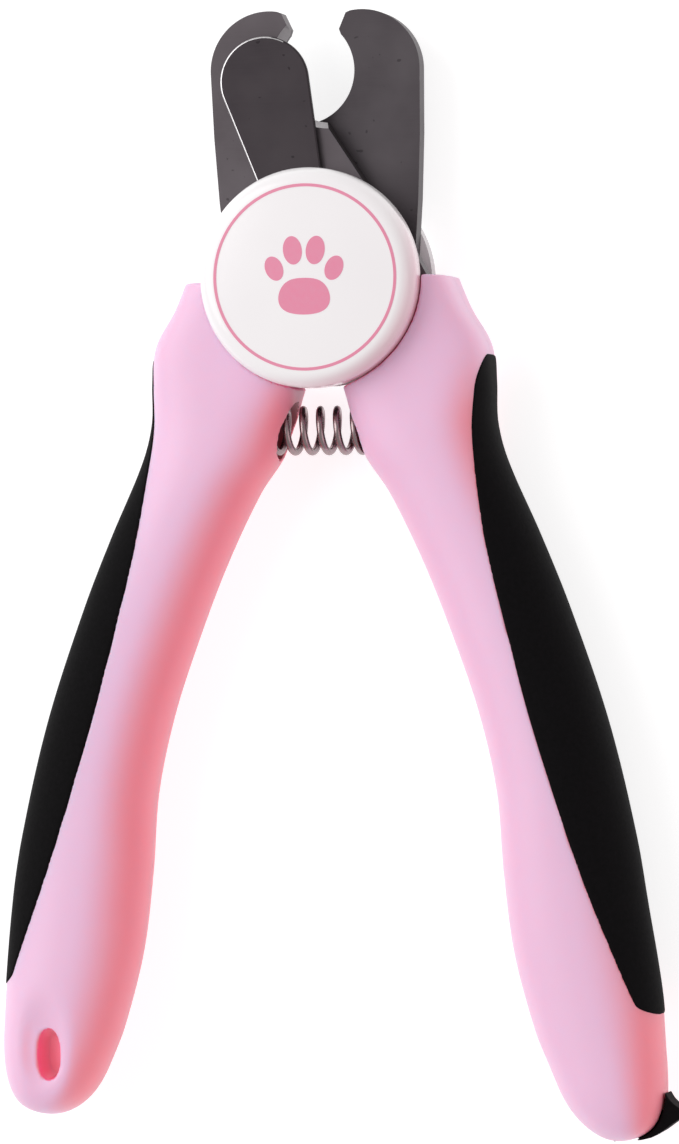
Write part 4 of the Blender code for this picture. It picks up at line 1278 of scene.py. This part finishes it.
def build_jaws():
    rear_metal = ground_steel("rear_blade_steel", (0.076, 0.066, 0.072), (0.100, 0.088, 0.095), 0.45)
    # The front blade's steel is the rear blade's steel painted lighter: painted light that offsets the
    # shade it gets
    front_metal = ground_steel("front_blade_steel", (0.102, 0.088, 0.095), (0.128, 0.112, 0.121), 0.45)
    edge_metal = ground_steel("edge_steel", (0.26, 0.245, 0.255), (0.36, 0.34, 0.35), 0.35)
    guard_metal = ground_steel("guard_steel", (0.052, 0.044, 0.049), (0.066, 0.056, 0.061), 0.42)
    # Bright steel for the guard's painted highlight on its lit bevel
    highlight_edge_metal = ground_steel("highlight_edge_steel", (0.62, 0.6, 0.61), (0.75, 0.73, 0.74), 0.35)
    rear = blade("rear_jaw", rear_blade_outline(), RIGHT, REAR_BLADE_Z)
    place_piece(rear, "rear_blade", "fixed_side", "blade_steel", rear_metal, edge_metal)
    front = blade("front_jaw", front_blade_outline(), LEFT, FRONT_BLADE_Z)
    place_piece(front, "front_blade", "moving_side", "blade_steel", front_metal, edge_metal)
    place_piece(guard(), "guard_plate", "guard", "guard_steel", guard_metal, highlight_edge_metal)


def build_caps(ink):
    # Front cap: painted shade with a painted pink reflection on its flank towards +X and -Y
    cap_shade_reflection = white_plastic("cap_plastic", (0.78, 0.55, 0.61), (0.8, -0.6, 0))
    # Rear cap: grey painted shade on its flank towards +X
    shaded = white_plastic("rear_cap_plastic", (0.48, 0.44, 0.46), (1, 0, 0))
    place_piece(front_cap(), "front_cap", "fixed_side", "white_plastic", cap_shade_reflection)
    place_piece(rear_cap(), "rear_cap", "fixed_side", "white_plastic", shaded)
    mark = cap_print()
    paint(mark, ink)
    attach(mark, "fixed_side")


def build_spring(steel):
    """The coil spring at rest, in place of its CAD node."""
    item = coil_spring()
    paint(item, steel)
    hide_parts("coil_spring")
    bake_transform(item)


def add_floor():
    bpy.ops.mesh.primitive_plane_add(size=6, location=(0, 0, -0.1 * MM))
    floor = bpy.context.object
    floor.name = "floor"
    paint(floor, floor_paint())


def add_light(name, place, target, size, power, color=(1, 1, 1)):
    data = bpy.data.lights.new(name, "AREA")
    data.shape = "DISK"
    data.size = size
    data.energy = power
    data.color = color
    item = new_object(name, data)
    item.location = place
    item.rotation_euler = (Vector(target) - Vector(place)).to_track_quat("-Z", "Y").to_euler()


def add_lights():
    target = (0, -0.04, 0)
    add_light("key", (-0.75, 0.25, 0.75), target, 1.1, KEY_POWER)
    add_light("fill", (0.8, -0.3, 0.5), target, 0.9, FILL_POWER, (1, 0.8, 0.82))
    world = bpy.data.worlds.new("studio")
    bpy.context.scene.world = world
    world.use_nodes = True
    background = world.node_tree.nodes["Background"]
    background.inputs["Color"].default_value = (1, 1, 1, 1)
    background.inputs["Strength"].default_value = AMBIENT


def add_camera():
    """Nearly square above the clipper from far away, a little to its right, and rolled slightly."""
    yaw = radians(12)
    roll = radians(0.37)
    distance = 1.1
    frame_height = 0.1716
    fit = 0.988
    target = Vector((2.149 * MM, -44.3 * MM, MID_Z))
    back = Vector((sin(yaw), 0, cos(yaw)))
    level = Vector((cos(yaw), 0, -sin(yaw)))
    ahead = Vector((0, 1, 0))
    right = level * cos(roll) - ahead * sin(roll)
    up = ahead * cos(roll) + level * sin(roll)
    place = target + back * distance
    camera = bpy.data.cameras.new("camera")
    camera.sensor_fit = "VERTICAL"
    camera.sensor_height = 24
    camera.lens = camera.sensor_height * distance * fit / frame_height
    camera.clip_start = 0.01
    item = new_object("camera", camera)
    turn = Matrix((right, up, back)).transposed()
    item.matrix_world = Matrix.Translation(place) @ turn.to_4x4()
    bpy.context.scene.camera = item


def build():
    rubber = black_rubber()
    bright = plated_steel("bright_steel", (0.42, 0.39, 0.39), (0.62, 0.6, 0.6))
    # The spring wire is darker and pink-tinted: painted shade and a painted reflection of the pink
    # handles
    wire = plated_steel("spring_wire", (0.26, 0.19, 0.195), (0.40, 0.32, 0.325))
    build_handles(rubber, bright)
    build_jaws()
    build_caps(pink_ink())
    build_spring(wire)
    place_piece(file_tab(), "file_tab", "file_set", "black_plastic", rubber)
    for name in ("stop_pin", "pivot_bolt", "pivot_nut", "pivot_bush", "front_washer", "rear_washer"):
        paint(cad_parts[name], bright)
    paint(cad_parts["nail_file"], file_steel())
    add_floor()
    add_lights()
    add_camera()
    bpy.context.scene.view_settings.view_transform = "Standard"


build()
